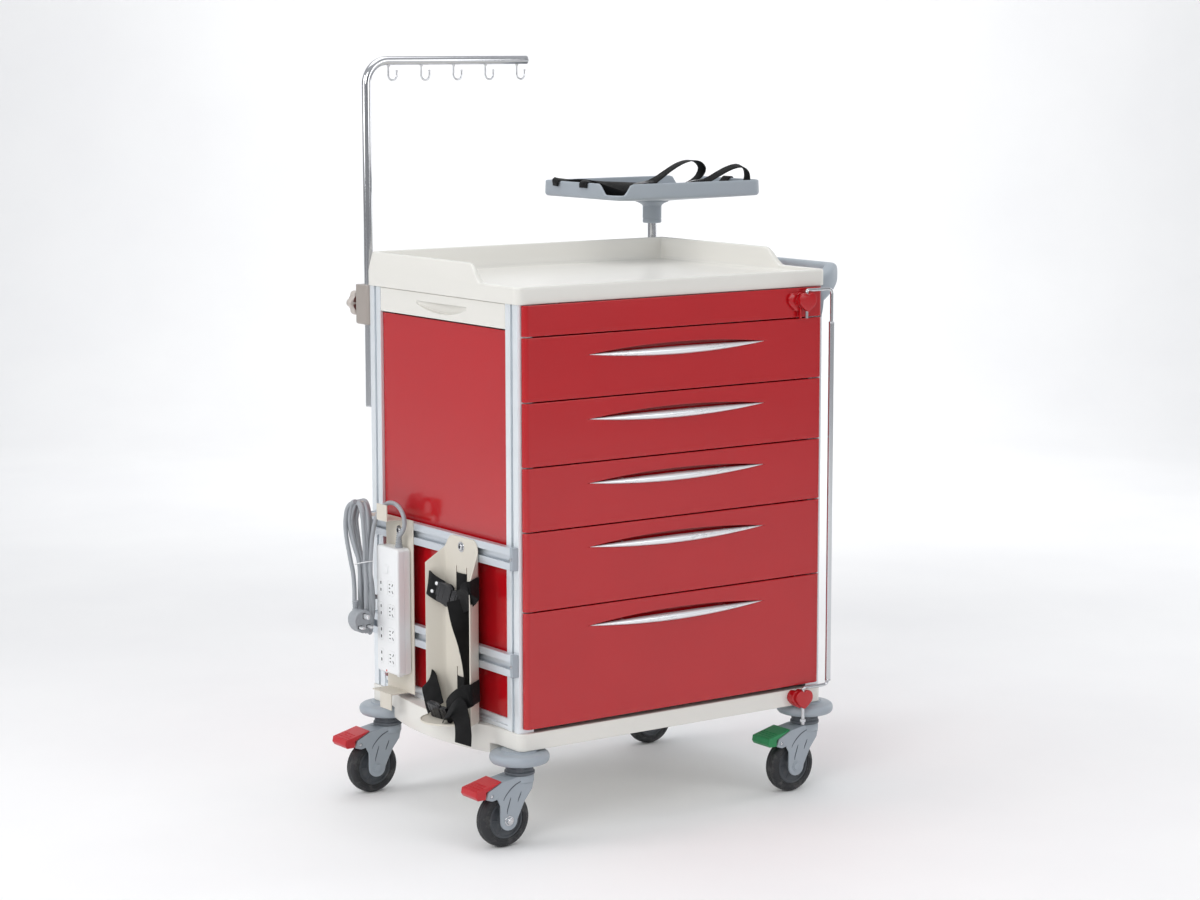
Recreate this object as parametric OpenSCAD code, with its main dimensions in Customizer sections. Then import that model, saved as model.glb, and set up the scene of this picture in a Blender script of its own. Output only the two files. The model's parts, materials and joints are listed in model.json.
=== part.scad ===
// Hospital emergency trolley: five drawers in an aluminium post frame, moulded worktop and base,
// a turning shelf for a defibrillator, infusion pole, locking bar, side shelf, cylinder holder,
// power strip and four swivel casters with brake pedals. Front faces -Y, height is +Z.

/* [Cabinet] */
// Width over the corner posts
cab_w = 650; // [640:1:660]
// Depth over the corner posts
cab_d = 474; // [470:1:480]
// Height of the underside of the base tray above the floor
base_z = 164; // [162:1:168]
// Thickness of the base tray
base_h = 30; // [28:1:34]
// Height of the underside of the worktop
top_z = 918; // [912:1:924]
// Height of the worktop's plain front rim
rim_h = 29; // [26:1:32]
// Height of the guard rail above the rim
guard_h = 31; // [20:1:40]
// Width of a post seen from the side
post_y = 36; // [34:1:40]
// Width of a post seen from the front
post_x = 30; // [28:1:32]

/* [Drawers] */
// Top edge of the first drawer front
drawer_top = 864; // [862:1:866]
// Pitch of the three shallow drawers
shallow_h = 109; // [108:1:110]
// Height of the fourth drawer
medium_h = 135.5; // [134:0.5:137]
// Height of the fifth drawer
deep_h = 201; // [199:1:203]
// How far a drawer pulls out
drawer_travel = 340; // [300:5:350]
// Thickness of a drawer front
front_t = 10.5; // [9:0.5:12]
// Length of a drawer handle
handle_w = 372; // [340:2:380]

/* [Defibrillator shelf] */
// Width of the shelf tray
tray_w = 342; // [330:2:360]
// Depth of the shelf tray
tray_d = 249; // [240:1:260]
// Height of the underside of the tray wall
tray_z = 1057; // [1050:1:1065]
// Height of the tray wall
tray_h = 28; // [24:1:32]

/* [Infusion pole] */
// Height of the hook bar's axis
pole_top = 1313; // [1280:1:1340]
// Radius of the pole
pole_r = 8; // [7:0.5:8]
// Length of the hook bar
bar_len = 340; // [320:5:350]

/* [Casters] */
// Wheel radius
wheel_r = 48; // [46:0.5:50]
// Distance from the swivel axis back to the axle
trail = 35; // [33:0.5:37]

/* [Hidden] */

px = cab_w / 2;
py = cab_d / 2;
b1 = base_z + base_h;
rim_z = top_z + rim_h;
guard_z = rim_z + guard_h;
floor_z = rim_z - 9;
caster_x = 311;
caster_y = 216;
defib_x = 317;
defib_y = 263;
iv_x = -312;
iv_y = 262;
clamp_z = 846;
lock_x = 271;
lock_y = -260;
arm = 57;
bumper_r = 53;
bumper_e = 10.5;
pedal_tip = 103;
// the origin is on the floor, under the middle of the whole outline
plate_r = 50;
ox = -((defib_x + tray_w / 2) - (px + 41 + plate_r)) / 2;
oy = -((defib_y + tray_d / 2) - (caster_y + bumper_r)) / 2;
z_edge = [drawer_top, drawer_top - shallow_h, drawer_top - 2 * shallow_h,
  drawer_top - 3 * shallow_h, drawer_top - 3 * shallow_h - medium_h,
  drawer_top - 3 * shallow_h - medium_h - deep_h];
rail_z = [493, 311];
inner = px - post_x;
BIG = 720;

red = "#b4282e";
cream = "#e3e2dc";
grey = "#969ea6";
alu = "#dde3e8";
steel = "#c9ccd0";
black = "#1c1c1e";

module at() translate([ox, oy, 0]) children();

// rounded rectangular prism, centred, standing on z = 0
module rrect(w, d, r, h) {
  translate([-w / 2 + r, -d / 2, 0]) cube([w - 2 * r, d, h]);
  translate([-w / 2, -d / 2 + r, 0]) cube([w, d - 2 * r, h]);
  for (x = [-1, 1], y = [-1, 1])
    translate([x * (w / 2 - r), y * (d / 2 - r), 0]) cylinder(r = r, h = h, $fn = 48);
}

// box from its two corners
module bx(a, b) translate(a) cube(b - a);

// prism of an XZ outline, from y0 to y1
module xz(y0, y1) translate([0, y1, 0]) rotate([90, 0, 0]) linear_extrude(y1 - y0) children();

// prism of a YZ outline, from x0 to x1
module yz(x0, x1) translate([x0, 0, 0]) rotate([90, 0, 90]) linear_extrude(x1 - x0) children();

// cylinder along Y from y0 to y1
module cy(x, z, r, y0, y1, f = 48) translate([x, y1, z]) rotate([90, 0, 0]) cylinder(r = r, h = y1 - y0, $fn = f);

// cylinder along X from x0 to x1
module cx(y, z, r, x0, x1, f = 48) translate([x0, y, z]) rotate([0, 90, 0]) cylinder(r = r, h = x1 - x0, $fn = f);

function arc_r(c, s) = (c * c / 4 + s * s) / (2 * s);

// points along an arc of rise s on a chord c, bulging up for a positive rise
function arc_pts(c, s, n = 24) = let (r = arc_r(c, abs(s)), h = asin(c / 2 / r))
  [for (i = [0:n]) let (a = h * (2 * i / n - 1)) [r * sin(a), sign(s) * (r * cos(a) - r + abs(s))]];

// lens between an upper arc of rise up and a lower arc of drop dn on one chord
module lens(c, up, dn) {
  low = arc_pts(c, -dn);
  polygon(concat(arc_pts(c, up), [for (i = [len(low) - 2:-1:1]) low[i]]));
}

// ---- cabinet ----

module side_bulge(s, grow, z0, z1, half = 172) {
  r = arc_r(340, 28) - grow;
  intersection() {
    translate([s * (px + 31 - r - grow), 0, z0]) cylinder(r = r, h = z1 - z0, $fn = BIG);
    bx([s > 0 ? px - 30 : -px - 40, grow - half, z0], [s > 0 ? px + 40 : -px + 30, half - grow, z1]);
  }
}

module base_tray() color(cream) at() difference() {
  union() {
    translate([0, 0, base_z]) rrect(656, 488, 14, base_h);
    for (s = [-1, 1]) {
      side_bulge(s, 0, base_z, b1);
      side_bulge(s, 0, base_z - 17, base_z + 5, 157);
    }
  }
  bx([-258, -238, base_z - 1], [258, 238, b1 - 5]);
  bx([-322, -158, base_z - 1], [322, 158, b1 - 5]);
  for (s = [-1, 1]) side_bulge(s, 5, base_z - 20, b1 - 5, 157);
  for (x = [-1, 1], y = [-1, 1])
    translate([x * caster_x, y * caster_y, base_z - 1]) cylinder(r = 6, h = base_h - 8, $fn = 32);
}

module post_outline() difference() {
  square([post_x, post_y]);
  translate([-1, post_y / 2 - 3.5]) square([6, 7]);
  translate([3.5, post_y / 2 - 6]) square([4, 12]);
  translate([5.8, post_y - 6]) square([3.4, 7]);
  translate([post_x - 6, 5.8]) square([7, 3.4]);
}

module frame_extrusions() color(alu) at() {
  for (x = [-1, 1], y = [-1, 1])
    scale([x, y, 1]) translate([-px, -py, b1]) linear_extrude(top_z - b1) post_outline();
  // low side rails with a groove
  for (s = [-1, 1]) scale([s, 1, 1]) difference() {
    bx([-px + 2, -200.5, b1], [-px + 24, 200.5, b1 + 20]);
    bx([-px + 1, -201, b1 + 7], [-px + 5, 201, b1 + 13]);
    bx([-px + 5.8, -201, b1 + 14], [-px + 9.2, 201, b1 + 21]);
  }
  bx([-inner + 0.5, 208, b1], [inner - 0.5, 226, b1 + 20]);
  bx([-inner + 0.5, 206, top_z - 20], [inner - 0.5, 226, top_z]);
  bx([-inner + 0.5, -232, top_z - 16], [inner - 0.5, -206, top_z]);
}

module guard_side() {
  // long guard with an S-shaped drop towards the front
  polygon(concat([[244, top_z], [244, guard_z]],
    [for (i = [0:12]) let (a = i / 12) [-87 - 41 * a, guard_z - guard_h * (3 * a * a - 2 * a * a * a)]],
    [[-128, top_z]]));
}

module worktop() color(cream) at() difference() {
  union() {
    translate([0, 0, top_z]) rrect(658, 488, 13, rim_h);
    intersection() {
      translate([0, 0, top_z]) rrect(658, 488, 18, rim_h + guard_h);
      union() {
        yz(-329, -314) guard_side();
        yz(314, 329) guard_side();
        bx([-329, 229, top_z], [329, 244, guard_z]);
      }
    }
  }
  translate([0, 0, floor_z]) rrect(634, 464, 14, 80);
  // hollow underneath, so that the posts meet solid corners
  bx([-292, -204, top_z - 1], [292, 204, floor_z - 4]);
}

module side_panels() color(red) at() {
  bx([-px + 6, -206, b1 + 14.5], [-px + 9, 206, 872]);
  bx([px - 9, -206, b1 + 14.5], [px - 6, 206, top_z - 1]);
}

module back_panel() color(red) at() bx([-inner - 5, py - 9, b1 + 1], [inner + 5, py - 6, top_z - 1]);

// moulded front with rounded upright edges, between two heights
module front_blank(z0, z1) intersection() {
  union() {
    bx([-308, -py - 11, z0], [308, -py - 0.5, z1]);
    for (s = [-1, 1]) translate([s * 308, -py - 1, z0]) cylinder(r = 10, h = z1 - z0, $fn = 48);
  }
  bx([-320, -py - 12, z0], [320, -py - 0.5, z1]);
}

module top_fascia() color(red) at() {
  front_blank(drawer_top + 1, top_z - 1);
  for (s = [-1, 1]) bx([s * 200 - 40, -py - 0.5, drawer_top + 30], [s * 200 + 40, -232, top_z - 1]);
}

module rail_outline() difference() {
  square([12, 38]);
  translate([-1, 13]) square([6, 12]);
  translate([3, 9]) square([4.5, 20]);
}

module accessory_rails() color(alu) at() for (z = rail_z)
  translate([0, 221, z - 19]) rotate([90, 0, 0]) translate([-px - 12, 0, 0]) linear_extrude(450) rail_outline();

module rail_end_caps() color(grey) at() for (z = rail_z, e = [[-237, -229], [221, 229]])
  translate([0, e[0], 0]) bx([-px - 12.5, 0, z - 19.5], [-px, e[1] - e[0], z + 19.5]);

module push_handle() color(grey) at() {
  hull() for (x = [384, 396], z = [929, 941]) cy(x, z, 9, -184, 184, 32);
  for (s = [-1, 1]) {
    hull() {
      for (x = [384, 396], z = [929, 941]) translate([x, s * 176, z]) sphere(r = 9, $fn = 24);
      bx([px + 0.3, s * 206 - 17, 894], [px + 6, s * 206 + 17, top_z - 7]);
    }
    hull() {
      bx([px + 0.3, s * 206 - 17, 894], [px + 6, s * 206 + 17, top_z - 7]);
      bx([px + 0.3, s * 206 - 6, 862], [px + 4, s * 206 + 14, 870]);
    }
  }
  // lip that wraps the front of the post
  xz(-py - 3, -py - 0.2) polygon([[319, 858], [319, top_z - 1], [px + 3.5, top_z - 1], [px + 3.5, 900],
    [px + 2, 884], [px - 2, 868]]);
  bx([px + 0.3, -py - 3, 894], [px + 3.5, -214, top_z - 1]);
}

module channel(z) difference() {
  bx([275, -230, z - 8], [inner, 226 - 20, z + 8]);
  bx([274, -231, z - 5.6], [292.5, 227, z + 5.6]);
}

module slide_channels() color(steel) at() {
  for (i = [0:4], s = [-1, 1]) scale([s, 1, 1]) channel(z_edge[i] - 40);
  for (s = [-1, 1]) scale([1, s, 1]) difference() {
    bx([-294.5, 184, 902], [80, 205.5, 914]);
    bx([-296, 183, 904.4], [81, 196, 911.6]);
  }
}

module heart_outline() {
  scale([0.9, 1]) {
    for (s = [-1, 1]) translate([s * 8.5, 4]) circle(r = 12.5, $fn = 64);
    polygon([[0, -16.5], [16.4, -5.7], [8.5, 4], [0, 12], [-8.5, 4], [-16.4, -5.7]]);
  }
}

module lock_brackets() color(red) at() difference() {
  union() {
    xz(lock_y - 6, -py - 11) translate([lock_x, 892.5]) heart_outline();
    xz(lock_y - 6, -244) translate([lock_x, 177.3]) heart_outline();
  }
  for (z = [870, 150]) translate([lock_x, lock_y, z]) cylinder(r = 3.05, h = 45, $fn = 48);
}

module pole_clamps() color(steel) at() {
  difference() {
    bx([-330, py, clamp_z], [-294, 281, top_z - 1]);
    translate([iv_x, iv_y, clamp_z - 1]) cylinder(r = pole_r + 0.05, h = 80, $fn = 48);
    cy(iv_x, 882, 4.05, 265, 290);
  }
  difference() {
    bx([299, py, clamp_z], [335, 283, top_z - 1]);
    translate([defib_x, defib_y, clamp_z - 1]) cylinder(r = 8.5, h = 80, $fn = 48);
  }
}

module defib_post() color(steel) at() {
  translate([defib_x, defib_y, 780]) cylinder(r = 8.5, h = 1039.9 - 780, $fn = 48);
  translate([defib_x, defib_y, 840]) difference() { cylinder(r = 13, h = 5.8, $fn = 48); translate([0, 0, -1]) cylinder(r = 8.5, h = 8, $fn = 48); }
}

// ---- left side fittings ----

module power_bracket() color(cream) at() difference() {
  union() {
    bx([-px - 14, 76, 204], [-px - 12, 167, 516]);
    // lower flange and its turned-down tab
    bx([-px - 51, 95, 204], [-px - 12, 159, 206]);
    bx([-px - 51, 95, 177], [-px - 49, 133, 206]);
    // upper flange, its turned-up tab and the hook for the coiled cord
    bx([-px - 51, 103, 514], [-px - 12, 137, 516]);
    bx([-px - 51, 103, 514], [-px - 49, 137, 543]);
    bx([-px - 40, 136, 514], [-px - 12, 194, 516]);
    bx([-px - 51, 184, 514], [-px - 38, 194, 516]);
    bx([-px - 51, 184, 514], [-px - 49, 194, 540]);
  }
  for (z = rail_z) cx(121, z, 3.1, -px - 20, -px - 10, 32);
}

module power_strip() color("#eeeeec") at() difference() {
  translate([-px - 41.5, 120.5, 239]) bx([0, -36.5, 0], [27, 36.5, 227]);
  bx([-px - 42, 114.3, 420], [-px - 36, 127.7, 433.4]);
  for (i = [0:3]) let (z = 262 + i * 42) {
    for (d = [-6, 6]) bx([-px - 42, 141, z + d - 1.2 + 6], [-px - 37, 147, z + d + 1.2 + 6]);
    bx([-px - 42, 104, z + 11], [-px - 37, 106, z + 18]);
    for (d = [-6, 6]) bx([-px - 42, 105 + d - 3, z - 2], [-px - 37, 105 + d - 1, z + 5]);
  }
}

module power_switch() color("#f6f6f4") at() bx([-px - 43, 114.6, 420.3], [-px - 38.4, 127.4, 433.1]);

module power_cord() color(grey) at() {
  // strain relief and lead
  translate([-px - 27, 102, 466]) cylinder(r = 6, h = 18, $fn = 32);
  translate([-px - 27, 97, 484]) cylinder(r = 4, h = 44, $fn = 32);
  translate([-px - 27, 97 + 20, 528]) rotate([90, 0, 90]) rotate_extrude(angle = 180, $fn = 48) translate([20, 0]) circle(r = 4, $fn = 24);
  // hanging coil
  translate([-px - 53, 188, 0]) {
    for (s = [-1, 1]) translate([0, s * 32, 334]) cylinder(r = 10, h = 188, $fn = 32);
    translate([0, 0, 522]) rotate([90, 0, 90]) rotate_extrude(angle = 180, $fn = 48) translate([32, 0]) circle(r = 10, $fn = 32);
    translate([0, 0, 334]) rotate([-90, 0, 90]) rotate_extrude(angle = 180, $fn = 48) translate([32, 0]) circle(r = 10, $fn = 32);
  }
  // plug
  bx([-px - 84, 130, 316], [-px - 65, 176, 362]);
}

module cradle_outline() {
  // folded sheet: flat back and two splayed wings
  w = 34;
  c = cos(32);
  s = sin(32);
  x = -px - 14;
  polygon([[x + 2, -28], [x + 2, -134], [x + 2 - w * c, -134 - w * s], [x + 1 - w * c, -134 - w * s + 1.8],
    [x, -132.8], [x, -29.2], [x + 1 - w * c, -28 + w * s - 1.8], [x + 2 - w * c, -28 + w * s]]);
}

module cylinder_holder() color(cream) at() {
  difference() {
    intersection() {
      translate([0, 0, 196]) linear_extrude(314) cradle_outline();
      // outline seen from the side: sloped shoulders
      yz(-px - 60, -px) polygon([[-200, 190], [-200, 440], [-152, 440], [-134, 490], [-126, 510], [-46, 510], [-28, 488], [-10, 458], [20, 440], [20, 190]]);
    }
    for (z = [400, 224], y = [-98, -66]) bx([-px - 20, y - 1.3, z], [-px - 8, y + 1.3, z + 48]);
    for (z = rail_z) cx(-82, z, 3.1, -px - 20, -px - 8, 32);
  }
  difference() {
    translate([-px - 41, -81, 194.2]) cylinder(r = plate_r, h = 2, $fn = 96);
    bx([-px - 12, -140, 190], [-px + 20, -20, 200]);
  }
}

module cylinder_straps() color(black) at() {
  bx([-px - 49, -148, 424], [-px - 46, -14, 462]);
  bx([-px - 49, -148, 226], [-px - 46, -14, 264]);
  bx([-px - 55, -118, 198], [-px - 52, -80, 440]);
  bx([-px - 55, -168, 172], [-px - 52, -132, 300]);
}

module bumper_outline() {
  difference() {
    union() {
      translate([0, -bumper_e]) square([bumper_r - bumper_e, 2 * bumper_e]);
      translate([0, -bumper_e]) square([30, 2 * bumper_e + 3.3]);
    }
    translate([-1, -bumper_e - 1]) square([7, 30]);
  }
  translate([bumper_r - bumper_e, 0]) circle(r = bumper_e, $fn = 48);
}

module caster_bumpers() color(grey) at() for (x = [-1, 1], y = [-1, 1])
  translate([x * caster_x, y * caster_y, base_z - 14]) rotate_extrude($fn = 96) bumper_outline();

module caster_stems() color(steel) at() for (x = [-1, 1], y = [-1, 1]) translate([x * caster_x, y * caster_y, 0]) {
  translate([0, 0, 104.2]) cylinder(r = 6, h = base_z + 20 - 104.2, $fn = 48);
  translate([0, 0, 121.5]) cylinder(r = 26, h = 5, $fn = 64);
  translate([0, 0, 126.5]) cylinder(r = 24, h = 1.5, $fn = 64);
  translate([0, 0, 128]) cylinder(r = 26, h = 10, $fn = 6);
  translate([0, 0, 138]) cylinder(r = 21, h = 1.3, $fn = 48);
}

module screw(r, h) difference() {
  cylinder(r = r, h = h, $fn = 32);
  translate([0, 0, h - 1.4]) cylinder(r = r * 0.45, h = 2, $fn = 6);
}

module fasteners() color(steel) at() {
  // bracket and cradle bolts, with shanks into the rail grooves
  for (y = [121, -82], z = rail_z) {
    // the lower bolt behind the power strip is countersunk
    if (y < 0 || z > 400) translate([-px - 14, y, z]) rotate([0, -90, 0]) screw(6.5, 3);
    cx(y, z, 3, -px - 14, -px - 8.2, 32);
  }
  // end cap screws
  for (z = rail_z, y = [-233, 225]) translate([-px - 12.5, y, z]) rotate([0, -90, 0]) screw(2.6, 1.2);
  // clamp screws behind the posts
  for (z = [858, 905]) translate([iv_x + 11, 281, z]) rotate([-90, 0, 0]) screw(3.5, 2.5);
  for (z = [858, 905], x = [-12, 12]) translate([defib_x + x, 283, z]) rotate([-90, 0, 0]) screw(3.5, 2.5);
}

// ---- drawers ----

module drawer_front(i) color(red) at() {
  z1 = z_edge[i] - 1;
  zh = z_edge[i] - 36;
  difference() {
    union() {
      front_blank(z_edge[i + 1] + 1, z1);
      bx([-200, -py - 1, zh - 20], [200, -231, zh + 20]);
    }
    xz(-py - 12, -234) translate([0, zh]) lens(handle_w + 2, 10.5, 10.5);
  }
}

module drawer_handle(i) color("#e8ebee") at() {
  zh = z_edge[i] - 36;
  c = handle_w + 20;
  intersection() {
    xz(-py - 25, -py - 8) translate([0, zh]) lens(handle_w, 2.6, 10);
    translate([0, -py - 9, zh - 20]) linear_extrude(40) polygon(concat(arc_pts(c, -11), [[c / 2, 9], [-c / 2, 9]]));
  }
  for (s = [-1, 1]) cy(s * 110, zh - 3, 2.5, -py - 9, -234, 32);
}

module drawer_tub(i) color(cream) at() {
  z0 = z_edge[i + 1] + 16;
  z1 = z_edge[i] - 14;
  zr = z_edge[i] - 40;
  difference() {
    bx([-270, -230.8, z0], [270, 190, z1]);
    bx([-267, -227.8, z0 + 3], [267, 187, z1 + 1]);
  }
  for (s = [-1, 1]) scale([s, 1, 1]) bx([270, -225, zr - 5], [282, 190, zr + 5]);
}

module side_shelf() color(cream) at() {
  difference() {
    bx([-px, -200, 875], [-px + 18, 200, 917]);
    intersection() {
      bx([-px - 1, -81, 884], [-px + 12, 79, 902]);
      yz(-px - 1, -px + 12) translate([-1, 900]) lens(176, 40, 15.5);
      translate([-px - 1.5 + arc_r(190, 13) - arc_r(190, 13) * 2 + 13, -1, 880]) cylinder(r = arc_r(190, 13), h = 30, $fn = BIG);
    }
  }
  bx([-px + 18, -195, 905], [60, 195, 911]);
}

// quarter bend of radius r in the XZ plane about (x, z), from angle a
module bend(x, z, r, a) translate([x, 0, z]) rotate([90, 0, 0]) rotate([0, 0, a]) rotate_extrude(angle = 90, $fn = 64) translate([r, 0]) circle(r = 3, $fn = 32);

module lock_bar() color(steel) at() translate([lock_x, lock_y, 0]) {
  zt = 913.4;
  zb = 198;
  // upper pin, arm, long run, lower arm, lower pin
  translate([0, 0, 864]) cylinder(r = 3, h = zt - 4 - 864, $fn = 32);
  bend(4, zt - 4, 4, 90);
  cx(0, zt, 3, 4, arm - 9, 32);
  bend(arm - 9, zt - 9, 9, 0);
  translate([arm, 0, zb + 9]) cylinder(r = 3, h = zt - zb - 18, $fn = 32);
  translate([arm, 0, 207]) cylinder(r = 5, h = 852 - 207, $fn = 32);
  bend(arm - 9, zb + 9, 9, -90);
  cx(0, zb, 3, 4, arm - 9, 32);
  bend(4, zb - 4, 4, 90);
  translate([0, 0, 131]) cylinder(r = 3, h = zb - 4 - 131, $fn = 32);
  translate([0, 0, 136]) cylinder(r = 5.2, h = 5, $fn = 6);
}

module j_hook(x) translate([x, 0, 0]) {
  translate([0, 0, pole_top - 34]) cylinder(r = 1.8, h = 30, $fn = 24);
  translate([8, 0, pole_top - 34]) rotate([-90, 0, 0]) rotate_extrude(angle = 180, $fn = 48) translate([8, 0]) circle(r = 1.8, $fn = 24);
  translate([16, 0, pole_top - 34]) cylinder(r = 1.8, h = 9, $fn = 24);
}

module iv_pole() color(steel) at() translate([iv_x, iv_y, 0]) {
  rb = 38;
  translate([0, 0, 697]) cylinder(r = pole_r, h = pole_top - rb - 697, $fn = 48);
  translate([rb, 0, pole_top - rb]) rotate([90, 0, 0]) rotate([0, 0, 90]) rotate_extrude(angle = 90, $fn = 96) translate([rb, 0]) circle(r = pole_r, $fn = 48);
  cx(0, pole_top, pole_r, rb, bar_len, 48);
  for (i = [0:4]) j_hook(46 + i * 68.5);
}

module clamp_knob() color("#6b3034") at() {
  cy(iv_x, 882, 4, 270.2, 288);
  cy(iv_x, 882, 9, 282.5, 288);
  difference() {
    union() {
      cy(iv_x, 882, 19, 287, 303, 64);
      for (i = [0:5]) cy(iv_x + 16 * cos(60 * i), 882 + 16 * sin(60 * i), 8, 287, 303, 32);
    }
    for (i = [0:5]) cy(iv_x + 25.5 * cos(60 * i + 30), 882 + 25.5 * sin(60 * i + 30), 7, 286, 304, 32);
  }
}

// ---- defibrillator shelf ----

module defib_collar() color(grey) at() translate([defib_x, defib_y, 1003]) difference() {
  union() {
    cylinder(r = 18, h = 42, $fn = 64);
    translate([0, 0, 36]) cylinder(r = 30, h = 6, $fn = 64);
  }
  translate([0, 0, -1]) cylinder(r = 8.55, h = 38, $fn = 48);
}

module tray_notch() {
  xz(-tray_d / 2 - 1, -tray_d / 2 + 15) polygon([[-tray_w / 2 - 1, 6], [-tray_w / 2 + 20, 6], [-tray_w / 2 + 36, tray_h + 1], [-tray_w / 2 - 1, tray_h + 1]]);
  yz(-tray_w / 2 - 1, -tray_w / 2 + 15) polygon([[-tray_d / 2 - 1, 6], [-tray_d / 2 + 36, 6], [-tray_d / 2 + 62, tray_h + 1], [-tray_d / 2 - 1, tray_h + 1]]);
}

module defib_tray() color(grey) at() translate([defib_x, defib_y, tray_z]) {
  hull() {
    rrect(tray_w, tray_d, 14, 4);
    translate([0, 0, -11.8]) rrect(120, 90, 10, 1);
  }
  difference() {
    rrect(tray_w, tray_d, 14, tray_h);
    translate([0, 0, -1]) rrect(tray_w - 12, tray_d - 12, 8, tray_h + 2);
    for (a = [0, 180]) rotate(a) tray_notch();
  }
}

module strap_loop(y, w, h, x0) difference() {
  translate([x0, y - w / 2, 0]) intersection() {
    rotate([-90, 0, 0]) cylinder(r = h, h = w, $fn = 96);
    bx([-h, 0, 0], [h, w, h]);
  }
  translate([x0, y - w, 0]) rotate([-90, 0, 0]) cylinder(r = h - 3, h = 2 * w, $fn = 96);
}

module defib_straps() color(black) at() translate([defib_x, defib_y, tray_z + 4.2]) {
  // straight strap and its loop
  bx([-162, -31, 0], [-3, -5, 3]);
  bx([103, -31, 0], [162, -5, 3]);
  strap_loop(-18, 26, 56, 50);
  // crossing strap and its loop
  hull() {
    bx([-162, 61, 0], [-158, 87, 3]);
    bx([62, -106, 0], [66, -80, 3]);
  }
  strap_loop(-93, 26, 45, 109);
}

// ---- casters, drawn about the swivel axis with the wheel towards -X ----

module place(x, y) at() translate([x * caster_x, y * caster_y, 0]) children();

ax = -trail;
az = wheel_r;

module fork() color(grey) difference() {
  union() {
    xz(-21, 21) polygon([[15, 121], [-20, 121], [-50, 116], [-76, 104], [-80, 90], [-68, 86], [-58, 88],
      [-52, 76], [ax - 17, az], [ax + 17, az], [-10, 64], [-3, 78], [12, 97], [15, 112]]);
    cy(ax, az, 17, -21, 21);
    translate([0, 0, 108]) cylinder(r = 24, h = 13, $fn = 64);
  }
  difference() {
    union() {
      cy(ax, az, wheel_r + 4, -17, 17, 96);
      bx([ax - 20, -17, -5], [ax + 25, 17, az]);
      bx([-90, -17, 84], [-60, 17, 130]);
    }
    cy(ax, az, 4, -30, 30);
    cy(-70, 95, 2, -30, 30, 32);
  }
  translate([0, 0, 104]) cylinder(r = 6.05, h = 20, $fn = 48);
}

module fork_pins() color(steel) {
  for (s = [-1, 1]) cy(ax, az, 7, s > 0 ? 21 : -23.5, s > 0 ? 23.5 : -21);
  for (s = [-1, 1]) cy(-70, 95, 3, s > 0 ? 21 : -22, s > 0 ? 22 : -21, 32);
}

module hub() color("#56585d") difference() {
  union() {
    cy(ax, az, 33, -11, 11, 96);
    cy(ax, az, 14, -15.5, 15.5, 64);
  }
  cy(ax, az, 4.05, -20, 20);
}

module tyre_outline() intersection() {
  difference() { translate([33, -15]) square([wheel_r - 33, 30]); translate([33.01, -16]) square([5, 3]); }
  union() { translate([wheel_r - 13, 0]) circle(r = 13, $fn = 64); translate([30, -13]) square([wheel_r - 43, 26]); }
}

module tyre() color("#37383c") translate([ax, 0, az]) rotate([90, 0, 0]) rotate_extrude($fn = 128) tyre_outline();

module pedal(c) color(c) difference() {
  union() {
    xz(-24, 24) polygon([[-52, 119.5], [-52, 117.6], [-77, 106], [-83, 104], [-83, 92], [-99, 92], [-pedal_tip, 98], [-101, 107.5]]);
    bx([-76, -15, 95], [-64, 15, 110]);
    cy(-70, 95, 6, -15, 15, 32);
  }
  cy(-70, 95, 2.05, -30, 30, 32);
  bx([-63.9, -15.5, 80], [-50, 15.5, 105]);
}

base_tray();
frame_extrusions();
worktop();
side_panels();
back_panel();
top_fascia();
accessory_rails();
rail_end_caps();
push_handle();
slide_channels();
lock_brackets();
pole_clamps();
defib_post();
power_bracket();
power_strip();
power_cord();
cylinder_holder();
cylinder_straps();
caster_bumpers();
caster_stems();
fasteners();
drawer_front(0);  // drawer_1_front
drawer_tub(0);  // drawer_1_tub
drawer_handle(0);  // drawer_1_handle
drawer_front(1);  // drawer_2_front
drawer_tub(1);  // drawer_2_tub
drawer_handle(1);  // drawer_2_handle
drawer_front(2);  // drawer_3_front
drawer_tub(2);  // drawer_3_tub
drawer_handle(2);  // drawer_3_handle
drawer_front(3);  // drawer_4_front
drawer_tub(3);  // drawer_4_tub
drawer_handle(3);  // drawer_4_handle
drawer_front(4);  // drawer_5_front
drawer_tub(4);  // drawer_5_tub
drawer_handle(4);  // drawer_5_handle
side_shelf();
lock_bar();
iv_pole();
clamp_knob();
defib_collar();
defib_tray();
defib_straps();
power_switch();
place(-1, -1) { fork(); fork_pins(); }  // fl_fork
place(-1, -1) hub();  // fl_hub
place(-1, -1) tyre();  // fl_tyre
place(-1, -1) pedal("#c02830");  // fl_pedal
place(1, -1) { fork(); fork_pins(); }  // fr_fork
place(1, -1) hub();  // fr_hub
place(1, -1) tyre();  // fr_tyre
place(1, -1) pedal("#2a8f56");  // fr_pedal
place(-1, 1) { fork(); fork_pins(); }  // bl_fork
place(-1, 1) hub();  // bl_hub
place(-1, 1) tyre();  // bl_tyre
place(-1, 1) pedal("#c02830");  // bl_pedal
place(1, 1) { fork(); fork_pins(); }  // br_fork
place(1, 1) hub();  // br_hub
place(1, 1) tyre();  // br_tyre
place(1, 1) pedal("#c02830");  // br_pedal
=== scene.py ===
import bpy, bmesh, math, json
from mathutils import Vector, Matrix


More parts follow.
